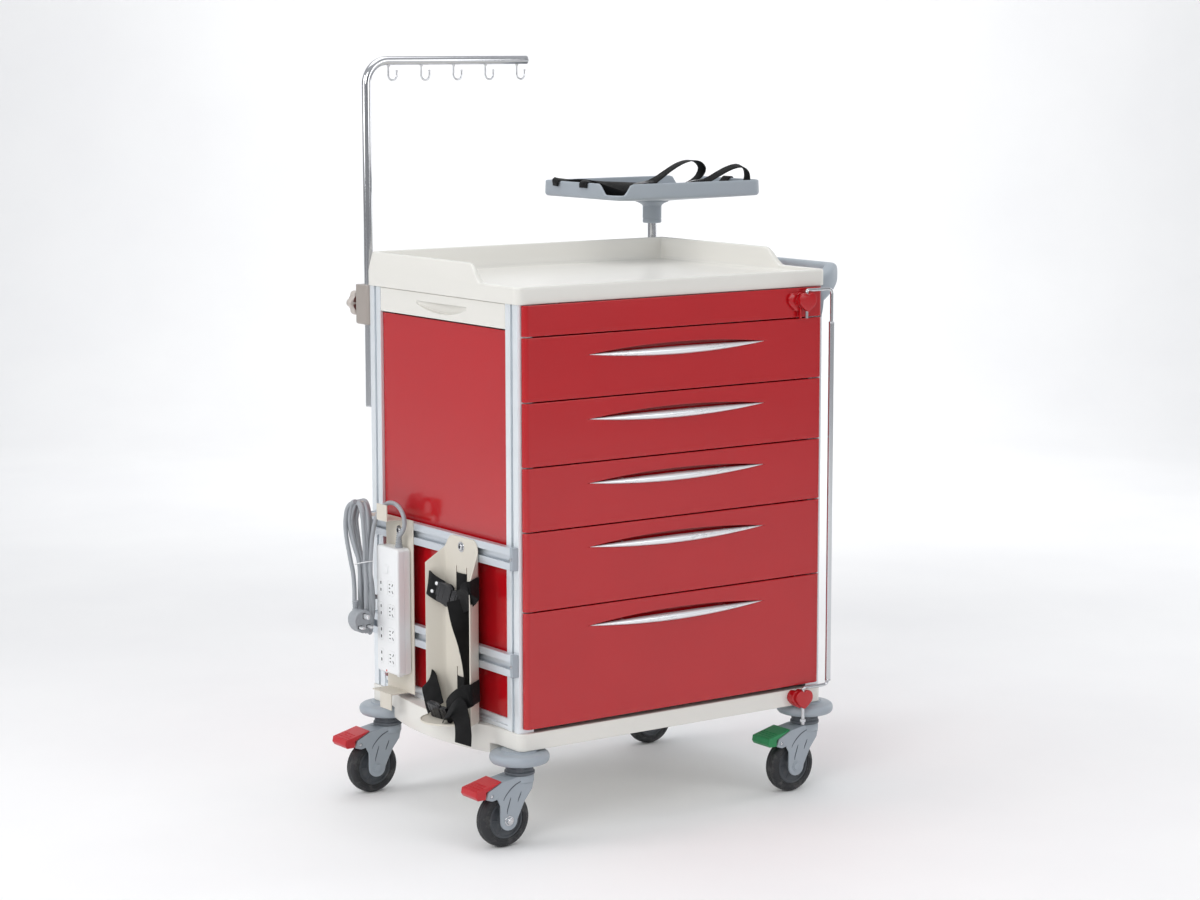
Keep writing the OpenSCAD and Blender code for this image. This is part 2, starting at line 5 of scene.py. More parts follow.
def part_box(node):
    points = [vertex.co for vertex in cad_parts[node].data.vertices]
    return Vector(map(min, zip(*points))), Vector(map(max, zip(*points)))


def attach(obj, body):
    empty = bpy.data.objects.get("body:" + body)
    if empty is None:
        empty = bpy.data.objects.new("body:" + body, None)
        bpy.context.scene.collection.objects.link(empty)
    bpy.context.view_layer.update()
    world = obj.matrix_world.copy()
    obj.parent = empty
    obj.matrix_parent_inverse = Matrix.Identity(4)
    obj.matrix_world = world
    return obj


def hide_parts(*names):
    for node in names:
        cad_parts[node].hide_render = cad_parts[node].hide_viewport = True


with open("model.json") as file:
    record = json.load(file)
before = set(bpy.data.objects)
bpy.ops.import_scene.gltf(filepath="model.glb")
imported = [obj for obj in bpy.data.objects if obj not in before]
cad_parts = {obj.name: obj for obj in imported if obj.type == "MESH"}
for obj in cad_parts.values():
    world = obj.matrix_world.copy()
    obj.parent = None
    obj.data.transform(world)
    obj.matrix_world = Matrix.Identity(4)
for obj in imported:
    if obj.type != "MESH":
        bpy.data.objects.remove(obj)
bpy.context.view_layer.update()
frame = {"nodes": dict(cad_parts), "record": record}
NODE = frame["nodes"]
BODY = {n: b for b, ns in frame["record"]["behaviour"]["bodies"].items() for n in ns}
SLOT = {s["node"]: s["material_slot"] for s in frame["record"]["subparts"]}
_lo, _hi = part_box("frame_extrusions")
OX, OY = (_lo.x + _hi.x) * 500, (_lo.y + _hi.y) * 500


def W(p):
    """A point given in millimetres from the cabinet's centre on the floor, in the row frame."""
    return Vector(((p[0] + OX) / 1000, (p[1] + OY) / 1000, p[2] / 1000))


# ------------------------------------------------------------------ materials

def s2l(c):
    c /= 255
    return c / 12.92 if c <= 0.04045 else ((c + 0.055) / 1.055) ** 2.4


def rgb(r, g, b):
    return (s2l(r), s2l(g), s2l(b), 1)


class Nodes:
    def __init__(self, name):
        self.mat = bpy.data.materials.new(name)
        self.mat.use_nodes = True
        self.t = self.mat.node_tree
        self.t.nodes.clear()
        self.out = self.t.nodes.new("ShaderNodeOutputMaterial")
        self.b = self.t.nodes.new("ShaderNodeBsdfPrincipled")
        self.t.links.new(self.b.outputs[0], self.out.inputs[0])
        self.co = self.t.nodes.new("ShaderNodeTexCoord")

    def new(self, kind, **kw):
        n = self.t.nodes.new(kind)
        for k, v in kw.items():
            setattr(n, k, v)
        return n

    def link(self, a, b):
        self.t.links.new(a, b)

    def noise(self, scale, detail=3, stretch=(1, 1, 1), rough=0.5):
        m = self.new("ShaderNodeMapping")
        m.inputs["Scale"].default_value = stretch
        self.link(self.co.outputs["Object"], m.inputs["Vector"])
        n = self.new("ShaderNodeTexNoise")
        n.inputs["Scale"].default_value = scale
        n.inputs["Detail"].default_value = detail
        n.inputs["Roughness"].default_value = rough
        self.link(m.outputs[0], n.inputs["Vector"])
        return n.outputs["Fac"]

    def ramp(self, fac, lo, hi, p0=0.3, p1=0.7):
        r = self.new("ShaderNodeMapRange")
        r.inputs["From Min"].default_value, r.inputs["From Max"].default_value = p0, p1
        r.inputs["To Min"].default_value, r.inputs["To Max"].default_value = lo, hi
        self.link(fac, r.inputs["Value"])
        return r.outputs[0]

    def mix(self, fac, a, b):
        m = self.new("ShaderNodeMix", data_type="RGBA")
        self.link(fac, m.inputs[0])
        for i, v in ((6, a), (7, b)):
            if hasattr(v, "is_linked"):
                self.link(v, m.inputs[i])
            else:
                m.inputs[i].default_value = v
        return m.outputs[2]

    def bump(self, height, strength, dist=0.0004, edge=0.0):
        u = self.new("ShaderNodeBump")
        u.inputs["Strength"].default_value = strength
        u.inputs["Distance"].default_value = dist
        self.link(height, u.inputs["Height"])
        if edge:
            e = self.new("ShaderNodeBevel", samples=4)
            e.inputs["Radius"].default_value = edge
            self.link(e.outputs[0], u.inputs["Normal"])
        self.link(u.outputs[0], self.b.inputs["Normal"])
        return u


def shade(c, k):
    return (min(c[0] * k, 1), min(c[1] * k, 1), min(c[2] * k, 1), 1)


def plastic(name, col, rough=0.4, grain=900, strength=0.12, vary=0.05, coat=0.0, edge=0.0006, spec=0.5, dust=0.0, mottle=1.0):
    m = Nodes(name)
    big = m.noise(7, 4)
    c = m.mix(m.ramp(big, 0, 1), shade(col, 1 - vary), shade(col, 1 + vary))
    if dust:
        fine = m.noise(60, 6, rough=0.65)
        c = m.mix(m.ramp(fine, 0, dust, 0.5, 0.8), c, (0.55, 0.53, 0.5, 1))
    m.link(c, m.b.inputs["Base Color"])
    m.link(m.ramp(m.noise(30, 5), rough * (1 - 0.15 * mottle), rough * (1 + 0.18 * mottle)), m.b.inputs["Roughness"])
    m.b.inputs["Specular IOR Level"].default_value = spec
    m.b.inputs["Coat Weight"].default_value = coat
    m.b.inputs["Coat Roughness"].default_value = 0.06
    m.bump(m.noise(grain, 3), strength, 0.00025, edge)
    return m.mat


def metal(name, col, rough=0.3, stretch=(1, 1, 1), scale=500, strength=0.12, vary=0.06, edge=0.0004, metallic=1.0, spread=0.25):
    m = Nodes(name)
    line = m.noise(scale, 4, stretch)
    m.link(m.mix(m.ramp(line, 0, 1), shade(col, 1 - vary), shade(col, 1 + vary)), m.b.inputs["Base Color"])
    m.b.inputs["Metallic"].default_value = metallic
    big = m.new("ShaderNodeMath", operation="ADD")
    m.link(m.ramp(line, -rough * spread * 0.5, rough * spread * 0.5), big.inputs[0])
    m.link(m.ramp(m.noise(14, 4), rough * 0.85, rough * 1.2), big.inputs[1])
    m.link(big.outputs[0], m.b.inputs["Roughness"])
    m.bump(line, strength, 0.00012, edge)
    return m.mat


def webbing_material(name):
    """Woven nylon: twill lines across the ribbon's own UV."""
    m = Nodes(name)
    mp = m.new("ShaderNodeMapping")
    m.link(m.co.outputs["UV"], mp.inputs["Vector"])
    waves = []
    for scale, rot in ((1.0, 0.9), (1.0, -0.9)):
        w = m.new("ShaderNodeTexWave", wave_type="BANDS", bands_direction="X", wave_profile="SIN")
        q = m.new("ShaderNodeMapping")
        q.inputs["Rotation"].default_value = (0, 0, rot)
        m.link(mp.outputs[0], q.inputs["Vector"])
        m.link(q.outputs[0], w.inputs["Vector"])
        w.inputs["Scale"].default_value = 210 * scale
        w.inputs["Distortion"].default_value = 0.35
        w.inputs["Detail Scale"].default_value = 3
        waves.append(w.outputs["Fac"])
    mul = m.new("ShaderNodeMath", operation="MULTIPLY")
    m.link(waves[0], mul.inputs[0])
    m.link(waves[1], mul.inputs[1])
    add = m.new("ShaderNodeMath", operation="ADD")
    m.link(mul.outputs[0], add.inputs[0])
    m.link(m.ramp(m.noise(1500, 2), -0.15, 0.15), add.inputs[1])
    m.link(m.mix(add.outputs[0], (0.0012, 0.0012, 0.0014, 1), (0.0065, 0.0065, 0.0075, 1)), m.b.inputs["Base Color"])
    m.link(m.ramp(m.noise(40, 4), 0.62, 0.85), m.b.inputs["Roughness"])
    m.b.inputs["Sheen Weight"].default_value = 0.04
    m.b.inputs["Sheen Roughness"].default_value = 0.5
    m.b.inputs["Specular IOR Level"].default_value = 0.22
    m.bump(add.outputs[0], 0.5, 0.0004)
    return m.mat


RED = rgb(180, 15, 25)
M = {
    "cream_plastic": plastic("cream_abs", rgb(226, 224, 218), 0.26, 1400, 0.05, 0.008, edge=0.001, mottle=0.1),
    "cream_metal": plastic("cream_powder_coat", rgb(212, 206, 194), 0.48, 1100, 0.22, 0.015, edge=0.0005),
    "red_panel": plastic("red_gloss_panel", RED, 0.17, 260, 0.03, 0.02, coat=0.3, edge=0.0004, spec=0.55, mottle=0.4),
    "red_plastic": plastic("red_gloss_front", RED, 0.19, 300, 0.035, 0.025, coat=0.25, edge=0.001, spec=0.5, mottle=0.4),
    "frame_aluminium": metal("anodised_aluminium", rgb(232, 237, 241), 0.36, (1, 1, 0.012), 1600, 0.10, 0.03, metallic=0.42),
    "rail_aluminium": metal("anodised_rail", rgb(214, 220, 226), 0.36, (1, 0.012, 1), 1600, 0.10, 0.03, metallic=0.6),
    "handle_silver": metal("satin_silver_handle", rgb(236, 238, 240), 0.30, (0.02, 1, 1), 1500, 0.05, 0.015, metallic=0.62),
    "steel": metal("zinc_steel", rgb(176, 178, 182), 0.33, (1, 1, 1), 300, 0.10, 0.08),
    "chrome": metal("chromed_tube", rgb(205, 206, 209), 0.10, (1, 1, 0.05), 400, 0.02, 0.03, spread=0.4),
    "grey_plastic": plastic("grey_nylon", rgb(160, 168, 176), 0.42, 1000, 0.16, 0.04, edge=0.001, dust=0.06),
    "white_plastic": plastic("white_abs", rgb(236, 237, 238), 0.3, 1200, 0.05, 0.01, edge=0.0006, mottle=0.3),
    "cord_grey": plastic("grey_cord", rgb(158, 162, 167), 0.5, 700, 0.2, 0.05, edge=0),
    "webbing": webbing_material("black_webbing"),
    "buckle": plastic("black_acetal", rgb(30, 30, 33), 0.28, 800, 0.12, 0.08, edge=0.0005),
    "knob_brown": plastic("brown_knob", rgb(104, 66, 64), 0.38, 900, 0.15, 0.08, edge=0.0008),
    "knob_rim": plastic("knob_rim", rgb(190, 182, 176), 0.4, 900, 0.1, 0.04, edge=0.0006),
    "hub_grey": plastic("hub_nylon", rgb(72, 76, 81), 0.45, 800, 0.2, 0.06, edge=0.0008, dust=0.10),
    "tyre_grey": plastic("tyre_rubber", rgb(40, 41, 44), 0.62, 420, 0.45, 0.12, edge=0.0004, dust=0.18),
    "pedal_red": plastic("red_pedal", rgb(190, 30, 40), 0.36, 900, 0.12, 0.05, edge=0.0008, dust=0.04),
    "pedal_green": plastic("green_pedal", rgb(30, 132, 78), 0.36, 900, 0.12, 0.05, edge=0.0008, dust=0.04),
    "clamp_cast": plastic("clamp_casting", rgb(158, 150, 144), 0.4, 700, 0.2, 0.05, edge=0.001),
    # painted shade: near-black fill laid into bolt sockets, socket slots and plug recesses, where the holes fall into
    # shade
    "socket_dark": plastic("painted_hole_shade", rgb(52, 54, 58), 0.6, 500, 0.2, 0.1, edge=0),
    # darker grey for the dust seals; on the steel caster stems the same grey is painted shade under the bumpers
    "seal_grey": plastic("seal_rubber_and_stem_shade", rgb(92, 97, 103), 0.5, 800, 0.2, 0.06, edge=0.0006, dust=0.05),
    "groove_dark": plastic("groove_shadow", rgb(84, 90, 97), 0.6, 700, 0.2, 0.06, edge=0),
}


def glow_material():
    m = Nodes("indicator_red")
    m.link(m.mix(m.ramp(m.noise(900, 2), 0, 1), (0.5, 0.01, 0.01, 1), (0.75, 0.03, 0.03, 1)), m.b.inputs["Base Color"])
    m.b.inputs["Roughness"].default_value = 0.2
    m.bump(m.noise(1200, 2), 0.05, 0.0001)
    return m.mat


M["indicator"] = glow_material()

# ------------------------------------------------------------------ mesh helpers


def finish_mesh(ob, mat, body, angle=32, reps=()):
    me = ob.data
    me.materials.clear()
    me.materials.append(M[mat] if isinstance(mat, str) else mat)
    for p in me.polygons:
        p.use_smooth = True
        p.material_index = 0
    me.set_sharp_from_angle(angle=math.radians(angle))
    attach(ob, body)
    if reps:
        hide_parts(*reps)
    return ob


def link_object(name, me):
    ob = bpy.data.objects.new(name, me)
    bpy.context.scene.collection.objects.link(ob)
    return ob


def build(name, verts, faces, mat, body, angle=32, reps=(), slot=None, uv=None, weld=True, convert=True):
    me = bpy.data.meshes.new(name)
    me.from_pydata([W(v) if convert else Vector(v) for v in verts], [], faces)
    if uv:
        layer = me.uv_layers.new(name="UVMap")
        for poly in me.polygons:
            for li in poly.loop_indices:
                layer.data[li].uv = uv[me.loops[li].vertex_index]
    bm = bmesh.new()
    bm.from_mesh(me)
    if weld:
        bmesh.ops.remove_doubles(bm, verts=bm.verts, dist=1e-6)
    bmesh.ops.recalc_face_normals(bm, faces=bm.faces)
    bm.to_mesh(me)
    bm.free()
    ob = link_object(name, me)
    if mat in SLOT.values():
        slot = slot or mat
    return finish_mesh(ob, mat, body, angle, reps)


def merge(parts):
    """Several (verts, faces) lists as one."""
    V, F = [], []
    for v, f in parts:
        n = len(V)
        V += list(v)
        F += [tuple(i + n for i in q) for q in f]
    return V, F


def rings(rs, closed=False, cap=True, wrap=True):
    """Skins a list of rings. wrap joins each ring's end to its start; closed joins the last ring to the first."""
    n = len(rs[0])
    V = [p for r in rs for p in r]
    F = []
    m = len(rs)
    for i in range(m if closed else m - 1):
        a, b = i * n, ((i + 1) % m) * n
        for j in range(n if wrap else n - 1):
            k = (j + 1) % n
            F.append((a + j, a + k, b + k, b + j))
    if cap and not closed and wrap:
        F.append(tuple(range(n))[::-1])
        F.append(tuple((m - 1) * n + j for j in range(n)))
    return V, F


def smooth_path(pts, per=8, closed=False):
    """Centripetal-like Catmull-Rom through the points."""
    P = [Vector(p) for p in pts]
    out = []
    n = len(P)
    for i in range(n if closed else n - 1):
        p0 = P[(i - 1) % n] if closed or i else P[0] * 2 - P[1]
        p1, p2 = P[i], P[(i + 1) % n]
        p3 = P[(i + 2) % n] if closed or i + 2 < n else P[-1] * 2 - P[-2]
        for k in range(per):
            t = k / per
            out.append(0.5 * ((2 * p1) + (p2 - p0) * t + (2 * p0 - 5 * p1 + 4 * p2 - p3) * t * t + (3 * p1 - p0 - 3 * p2 + p3) * t ** 3))
    if not closed:
        out.append(P[-1].copy())
    return out


def frames(path, up=None, closed=False):
    """Tangent, side and normal along a path; parallel transport unless up is given."""
    res = []
    n = len(path)
    prev = None
    for i in range(n):
        if closed:
            t = path[(i + 1) % n] - path[i - 1]
        else:
            t = path[min(i + 1, n - 1)] - path[max(i - 1, 0)]
        t.normalize()
        if up is not None:
            u = Vector(up[i] if isinstance(up, list) else up)
            s = t.cross(u)
            s.normalize()
            res.append((t, s, s.cross(t)))
            continue
        if prev is None:
            a = Vector((0, 0, 1)) if abs(t.z) < 0.9 else Vector((1, 0, 0))
            s = t.cross(a).normalized()
        else:
            s = (prev - t * prev.dot(t)).normalized()
        prev = s
        res.append((t, s, s.cross(t)))
    return res


def tube(path, r, n=14, closed=False, cap=True):
    P = [Vector(p) for p in path]
    fr = frames(P, closed=closed)
    rs = []
    for i, (p, (t, s, u)) in enumerate(zip(P, fr)):
        q = r(i / (len(P) - 1)) if callable(r) else r
        rs.append([p + s * (q * math.cos(2 * math.pi * k / n)) + u * (q * math.sin(2 * math.pi * k / n)) for k in range(n)])
    return rings(rs, closed=closed, cap=cap)


def ribbon(path, width, thick, up, edge=0.35):
    """Flat strap along a path with rounded edges. up is the outward side of the strap. Gives verts, faces and a UV."""
    P = [Vector(p) for p in path]
    fr = frames(P, up)
    rs, uv = [], []
    d = 0
    sec = []
    h = thick / 2
    for k in range(5):
        a = math.pi / 2 - math.pi * k / 4
        sec.append((width / 2 - h + h * math.cos(a), h * math.sin(a)))
    for k in range(5):
        a = -math.pi / 2 - math.pi * k / 4
        sec.append((-width / 2 + h + h * math.cos(a), h * math.sin(a)))
    sec_u = [(x + width / 2) / 1000 for x, _ in sec]
    for i, (p, (t, s, u)) in enumerate(zip(P, fr)):
        if i:
            d += (P[i] - P[i - 1]).length
        rs.append([p + s * x + u * y for x, y in sec])
        uv += [(a, d / 1000) for a in sec_u]
    V, F = rings(rs)
    return V, F, uv


def lathe(profile, n=64, centre=(0, 0, 0), axis="Z", closed=False):
    """Turns (radius, height) points round an axis through centre."""
    rs = []
    for r, h in profile:
        ring = []
        for k in range(n):
            a = 2 * math.pi * k / n
            x, y = r * math.cos(a), r * math.sin(a)
            p = (x, y, h) if axis == "Z" else ((x, h, y) if axis == "Y" else (h, x, y))
            ring.append((p[0] + centre[0], p[1] + centre[1], p[2] + centre[2]))
        rs.append(ring)
    return rings(rs, closed=closed, cap=not closed)


def rounded_rect(w, d, r, n=6, cx=0, cy=0):
    """Outline of a rounded rectangle, anticlockwise from the right-hand side."""
    out = []
    for sx, sy, a0 in ((1, 1, 0), (-1, 1, 90), (-1, -1, 180), (1, -1, 270)):
        for k in range(n + 1):
            a = math.radians(a0 + 90 * k / n)
            out.append((cx + sx * (w / 2 - r) + r * math.cos(a), cy + sy * (d / 2 - r) + r * math.sin(a)))
    return out


def inset(poly, d):
    """Moves a smooth closed outline inwards by d."""
    n = len(poly)
    out = []
    area = sum(poly[i][0] * poly[(i + 1) % n][1] - poly[(i + 1) % n][0] * poly[i][1] for i in range(n))
    sg = 1 if area > 0 else -1
    for i in range(n):
        a, b, c = Vector(poly[i - 1]), Vector(poly[i]), Vector(poly[(i + 1) % n])
        e1, e2 = (b - a), (c - b)
        if e1.length < 1e-9 or e2.length < 1e-9:
            out.append((b.x, b.y))
            continue
        e1.normalize()
        e2.normalize()
        n1, n2 = Vector((-e1.y, e1.x)) * sg, Vector((-e2.y, e2.x)) * sg
        m = n1 + n2
        if m.length < 1e-6:
            m = n1
        m = m / max(m.dot(n1), 0.3)
        out.append((b.x + m.x * d, b.y + m.y * d))
    return out


def prism(poly, z0, z1, r0=0, r1=0, seg=3, to=lambda x, y, z: (x, y, z)):
    """Upright prism of an outline, with its lower and upper edges rounded by r0 and r1."""
    rs = []
    if r0:
        for k in range(seg + 1):
            a = math.pi / 2 * k / seg
            rs.append([(p[0], p[1], z0 + r0 * (1 - math.sin(a))) for p in inset(poly, r0 * (1 - math.cos(a)))][:])
        rs = [[(x, y, z0 + r0 * (1 - math.cos(math.pi / 2 * k / seg))) for x, y in inset(poly, r0 * (1 - math.sin(math.pi / 2 * k / seg)))] for k in range(seg + 1)]
    else:
        rs = [[(x, y, z0) for x, y in poly]]
    if r1:
        rs += [[(x, y, z1 - r1 * (1 - math.cos(math.pi / 2 * k / seg))) for x, y in inset(poly, r1 * (1 - math.sin(math.pi / 2 * k / seg)))] for k in range(seg, -1, -1)]
    else:
        rs.append([(x, y, z1) for x, y in poly])
    V, F = rings(rs)
    return [to(*v) for v in V], F


def xz_to(x, y, z):
    """An outline drawn in XZ and raised along Y."""
    return (x, z, y)


def yz_to(x, y, z):
    """An outline drawn in YZ and raised along X."""
    return (z, x, y)


def rounded(node, w=1.0, seg=2, mat=None, angle=28, name=None):
    """A copy of a CAD node with its hard edges rounded, shown in the node's place."""
    src = NODE[node]
    me = src.data.copy()
    bm = bmesh.new()
    bm.from_mesh(me)
    bmesh.ops.remove_doubles(bm, verts=bm.verts, dist=2e-6)
    bmesh.ops.dissolve_limit(bm, angle_limit=math.radians(0.35), verts=bm.verts, edges=bm.edges)
    hard = [e for e in bm.edges if len(e.link_faces) == 2 and e.calc_face_angle(0) > math.radians(angle)]
    if w and hard:
        bmesh.ops.bevel(bm, geom=hard, offset=w / 1000, offset_type="OFFSET", segments=seg, profile=0.5, affect="EDGES", clamp_overlap=False, material=-1)
    bmesh.ops.recalc_face_normals(bm, faces=bm.faces)
    bm.to_mesh(me)
    bm.free()
    ob = link_object(name or node + "_body", me)
    finish_mesh(ob, mat or SLOT[node], BODY[node], 40, (node,))
    m = ob.modifiers.new("wn", "WEIGHTED_NORMAL")
    m.keep_sharp = True
    m.weight = 80
    return ob


def keep(node, mat=None):
    """A CAD node shown as it is, with its own material."""
    ob = NODE[node]
    ob.data.materials.clear()
    ob.data.materials.append(M[mat or SLOT[node]])
    for p in ob.data.polygons:
        p.material_index = 0
    return ob



# ------------------------------------------------------------------ cabinet

PX, PY = 325.0, 237.0
Z_EDGE = [864, 755, 646, 537, 401.5, 200.5]


def perimeter(hx, hy, r, per_side=28, arc=10):
    """Points and outward normals round a rounded rectangle, anticlockwise from the front right corner."""
    out = []
    for (sx, sy, a0), (ex, ey) in zip(((1, -1, -90), (1, 1, 0), (-1, 1, 90), (-1, -1, 180)), ((1, 1), (-1, 1), (-1, -1), (1, -1))):
        for k in range(arc + 1):
            a = math.radians(a0 + 90 * k / arc)
            n = (math.cos(a), math.sin(a))
            out.append(((sx * (hx - r) + r * n[0], sy * (hy - r) + r * n[1]), n))
        p0 = out[-1][0]
        a1 = math.radians(a0 + 90)
        n = (math.cos(a1), math.sin(a1))
        p1 = (ex * (hx - r) + r * n[0], ey * (hy - r) + r * n[1])
        for k in range(1, per_side):
            t = k / per_side
            out.append(((p0[0] + (p1[0] - p0[0]) * t, p0[1] + (p1[1] - p0[1]) * t), n))
    return out


def inward(x, y, nx, ny, d, hx, hy, r):
    """Move a perimeter point in by d, keeping every corner a true fillet."""
    re_ = max(r - d, 3.0)
    mx, my = hx - d - re_, hy - d - re_
    if abs(nx) > 0.9999:
        return x - nx * d, max(-my, min(my, y))
    if abs(ny) > 0.9999:
        return max(-mx, min(mx, x)), y - ny * d
    sx, sy = (1 if nx > 0 else -1), (1 if ny > 0 else -1)
    return sx * mx + re_ * nx, sy * my + re_ * ny


def worktop():
    P = perimeter(329, 244, 14, 60, 12)

    def guard(x, y):
        if y < -128:
            return 0.0
        if y < -86:
            t = (y + 128) / 42
            return t * t * (3 - 2 * t)
        return 1.0

    rs = []
    for (x, y), (nx, ny) in P:
        k = guard(x, y)
        zt = 947 + 31 * k
        to = 7.0 * k
        ti = 13 + 1.5 * k
        q = []

        def add(d, z):
            q.append(inward(x, y, nx, ny, d, 329, 244, 14) + (z,))
        add(34, 918)
        add(1.2, 918)
        add(0.35, 918.35)
        add(0, 919.2)
        add(0, 931)
        for t in (0.0, 0.2, 0.5, 0.8, 1.0):
            add(to * t ** 1.15, 943.5 + (zt - 3.2 - 943.5) * t) if k > 0.02 else add(0, 932 + (zt - 3.2 - 932) * t)
        for a in (30, 60, 90):
            c = math.radians(a)
            add(to + 3.2 * (1 - math.cos(c)), zt - 3.2 * (1 - math.sin(c)))
        for a in (90, 60, 30, 0):
            c = math.radians(a)
            add(ti - 3 * (1 - math.cos(c)), zt - 3 * (1 - math.sin(c)))
        lo_d = ti + 1.5 * k
        add((ti + lo_d) / 2, (zt - 3 + 943.5) / 2)
        for a in (0, 30, 60, 90):
            c = math.radians(a)
            add(lo_d + 5.5 * (1 - math.cos(c)), 943.5 - 5.5 * math.sin(c))
        rs.append(q)
    n = len(rs[0])
    V = [p for q in rs for p in q]
    F = []
    m = len(rs)
    for i in range(m):
        a, b = i * n, ((i + 1) % m) * n
        for j in range(n - 1):
            F.append((a + j, b + j, b + j + 1, a + j + 1))
    for edge_j, flip in ((n - 1, False), (0, True)):
        prev = [i * n + edge_j for i in range(m)]
        for f in (0.86, 0.6, 0.3):
            base = len(V)
            for i in range(m):
                x, y, z = V[i * n + edge_j]
                V.append((x * f, y * f, z))
            ring = list(range(base, base + m))
            for i in range(m):
                k = (i + 1) % m
                q = (prev[i], prev[k], ring[k], ring[i])
                F.append(q[::-1] if flip else q)
            prev = ring
        c = len(V)
        V.append((0, 0, V[prev[0]][2]))
        for i in range(m):
            q = (prev[i], prev[(i + 1) % m], c)
            F.append(q[::-1] if flip else q)
    build("worktop_moulding", V, F, "cream_plastic", "cart", 40, ("worktop",))


worktop()


def base_outline(grow=0.0):
    """Rounded rectangle with an arc bulging out of each side."""
    pts = []
    R = 530.0
    hx, hy, r = 328 - grow, 244 - grow, 14 - grow * 0.5
    a_end = math.degrees(math.asin(170 / R))

    def bulge(s):
        cx = s * -174
        arr = []
        for k in range(41):
            a = math.radians(-a_end + 2 * a_end * k / 40)
            arr.append((cx + s * (R - grow) * math.cos(a), s * (R - grow) * math.sin(a)))
        return arr
    for sx, sy, a0 in ((1, 1, 0), (-1, 1, 90), (-1, -1, 180), (1, -1, 270)):
        if (sx, sy) == (1, 1):
            pts += bulge(1)
        if (sx, sy) == (-1, -1):
            pts += bulge(-1)
        for k in range(9):
            a = math.radians(a0 + 90 * k / 8)
            pts.append((sx * (hx - r) + r * math.cos(a), sy * (hy - r) + r * math.sin(a)))
    return pts


rounded("base_tray", 1.6, 3)
rounded("frame_extrusions", 0.45, 2, "frame_aluminium")
keep("side_panels")
rounded("back_panel", 0.6, 2)
rounded("top_fascia", 1.3, 3)
rounded("accessory_rails", 0.45, 2, "rail_aluminium")
rounded("rail_end_caps", 1.4, 3)
rounded("slide_channels", 0.3, 1)
rounded("fasteners", 0.3, 2)
rounded("side_shelf", 1.2, 3)
parts, dark = [], []
for y, z, x0, r in ((121, 493, -342.0, 6.5), (-82, 493, -342.0, 6.5), (-82, 311, -342.0, 6.5), (-233, 493, -338.7, 2.6), (-233, 311, -338.7, 2.6), (225, 493, -338.7, 2.6), (225, 311, -338.7, 2.6)):
    if r > 5:
        parts.append(lathe([(r + 2.6, x0 + 3.0), (r + 2.6, x0 + 2.3), (r + 2.1, x0 + 1.8), (r - 0.4, x0 + 1.8)], 40, (0, y, z), "X"))
    parts.append(lathe([(r * 0.98, x0 + 0.6), (r * 0.92, x0 - 0.25), (r * 0.78, x0 - 0.75), (r * 0.5, x0 - 0.9)], 40, (0, y, z), "X"))
    # dark hexagons sunk into the bolt heads: painted shade inside the hex sockets
    hx_ = [(y + r * 0.5 * math.cos(math.pi / 3 * k), z + r * 0.5 * math.sin(math.pi / 3 * k)) for k in range(6)]
    dark.append(prism(hx_, x0 - 0.95, x0 + 0.4, 0, 0, 1, yz_to))
V, F = merge(parts)
build("bolt_heads", V, F, "chrome", "cart", 38)
V, F = merge(dark)
build("bolt_socket_shade", V, F, "socket_dark", "cart", 38, slot="white_plastic")
# the steel stems are drawn in the darker seal grey as painted shade under the bumpers
rounded("caster_stems", 0.8, 2, "seal_grey")
keep("defib_post")
for tag, sx, sy in (("fl", -1, -1), ("fr", 1, -1), ("bl", -1, 1), ("br", 1, 1)):
    prof = [(6.3, 140.5), (34, 140.5), (44, 140.7), (47.8, 142.2), (50.2, 145.2), (51.2, 149.2), (51.0, 153.2), (49.3, 156.8), (46.4, 158.9), (42.5, 159.8), (31.5, 160.3), (30.4, 160.9), (30, 162.0), (30, 163.8), (6.3, 163.8)]
    V, F = lathe(prof, 96, (sx * 311.0, sy * 216.0, 0), "Z", closed=True)
    build(f"{tag}_bumper", V, F, "grey_plastic", "cart", 40, ("caster_bumpers",) if tag == "fl" else ())
    # dust seals between the bumper and the swivel head
    V, F = lathe([(6.3, 121.3), (20.5, 121.3), (21.5, 122.2), (21.5, 124.4), (20.6, 125.2), (17.4, 125.6), (17.2, 127.6), (22.4, 128.0), (23.6, 129.0), (23.8, 131.6), (23.0, 132.6), (19.0, 133.0), (18.6, 135.6), (25.2, 136.2), (26.2, 137.2), (26.2, 139.6), (6.3, 140.4)],
                 64, (sx * 311.0, sy * 216.0, 0), "Z", closed=True)
    build(f"{tag}_swivel_seals", V, F, "seal_grey", "cart", 38)


def iv_pole():
    rb, r = 42.0, 7.95
    P = [(-312, 262, 697 + (1313 - rb - 697) * k / 12) for k in range(12)]
    P += [(-312 + rb - rb * math.cos(math.pi / 2 * k / 24), 262, 1313 - rb + rb * math.sin(math.pi / 2 * k / 24)) for k in range(25)]
    P += [(-312 + rb + (27.8 + 312 - rb) * k / 8, 262, 1313) for k in range(1, 9)]
    parts = [tube([Vector(q) for q in P], r, 40)]
    for i in range(5):
        x = -312 + 46 + i * 68.5
        rh = 8.6
        H = [(x, 262, 1306.5), (x, 262, 1300), (x, 262, 1294)] + [(x + rh - rh * math.cos(math.pi * k / 16), 262, 1287 - rh * math.sin(math.pi * k / 16)) for k in range(17)] + [(x + 2 * rh, 262, 1290.5), (x + 2 * rh, 262, 1294)]
        parts.append(tube([Vector(q) for q in H], 1.75, 14))
    V, F = merge(parts)
    build("iv_pole_tube", V, F, "chrome", "iv_pole", 45, ("iv_pole",))


iv_pole()

for i in range(5):
    rounded(f"drawer_{i + 1}_front", 1.3, 3)
    rounded(f"drawer_{i + 1}_tub", 1.2, 3)


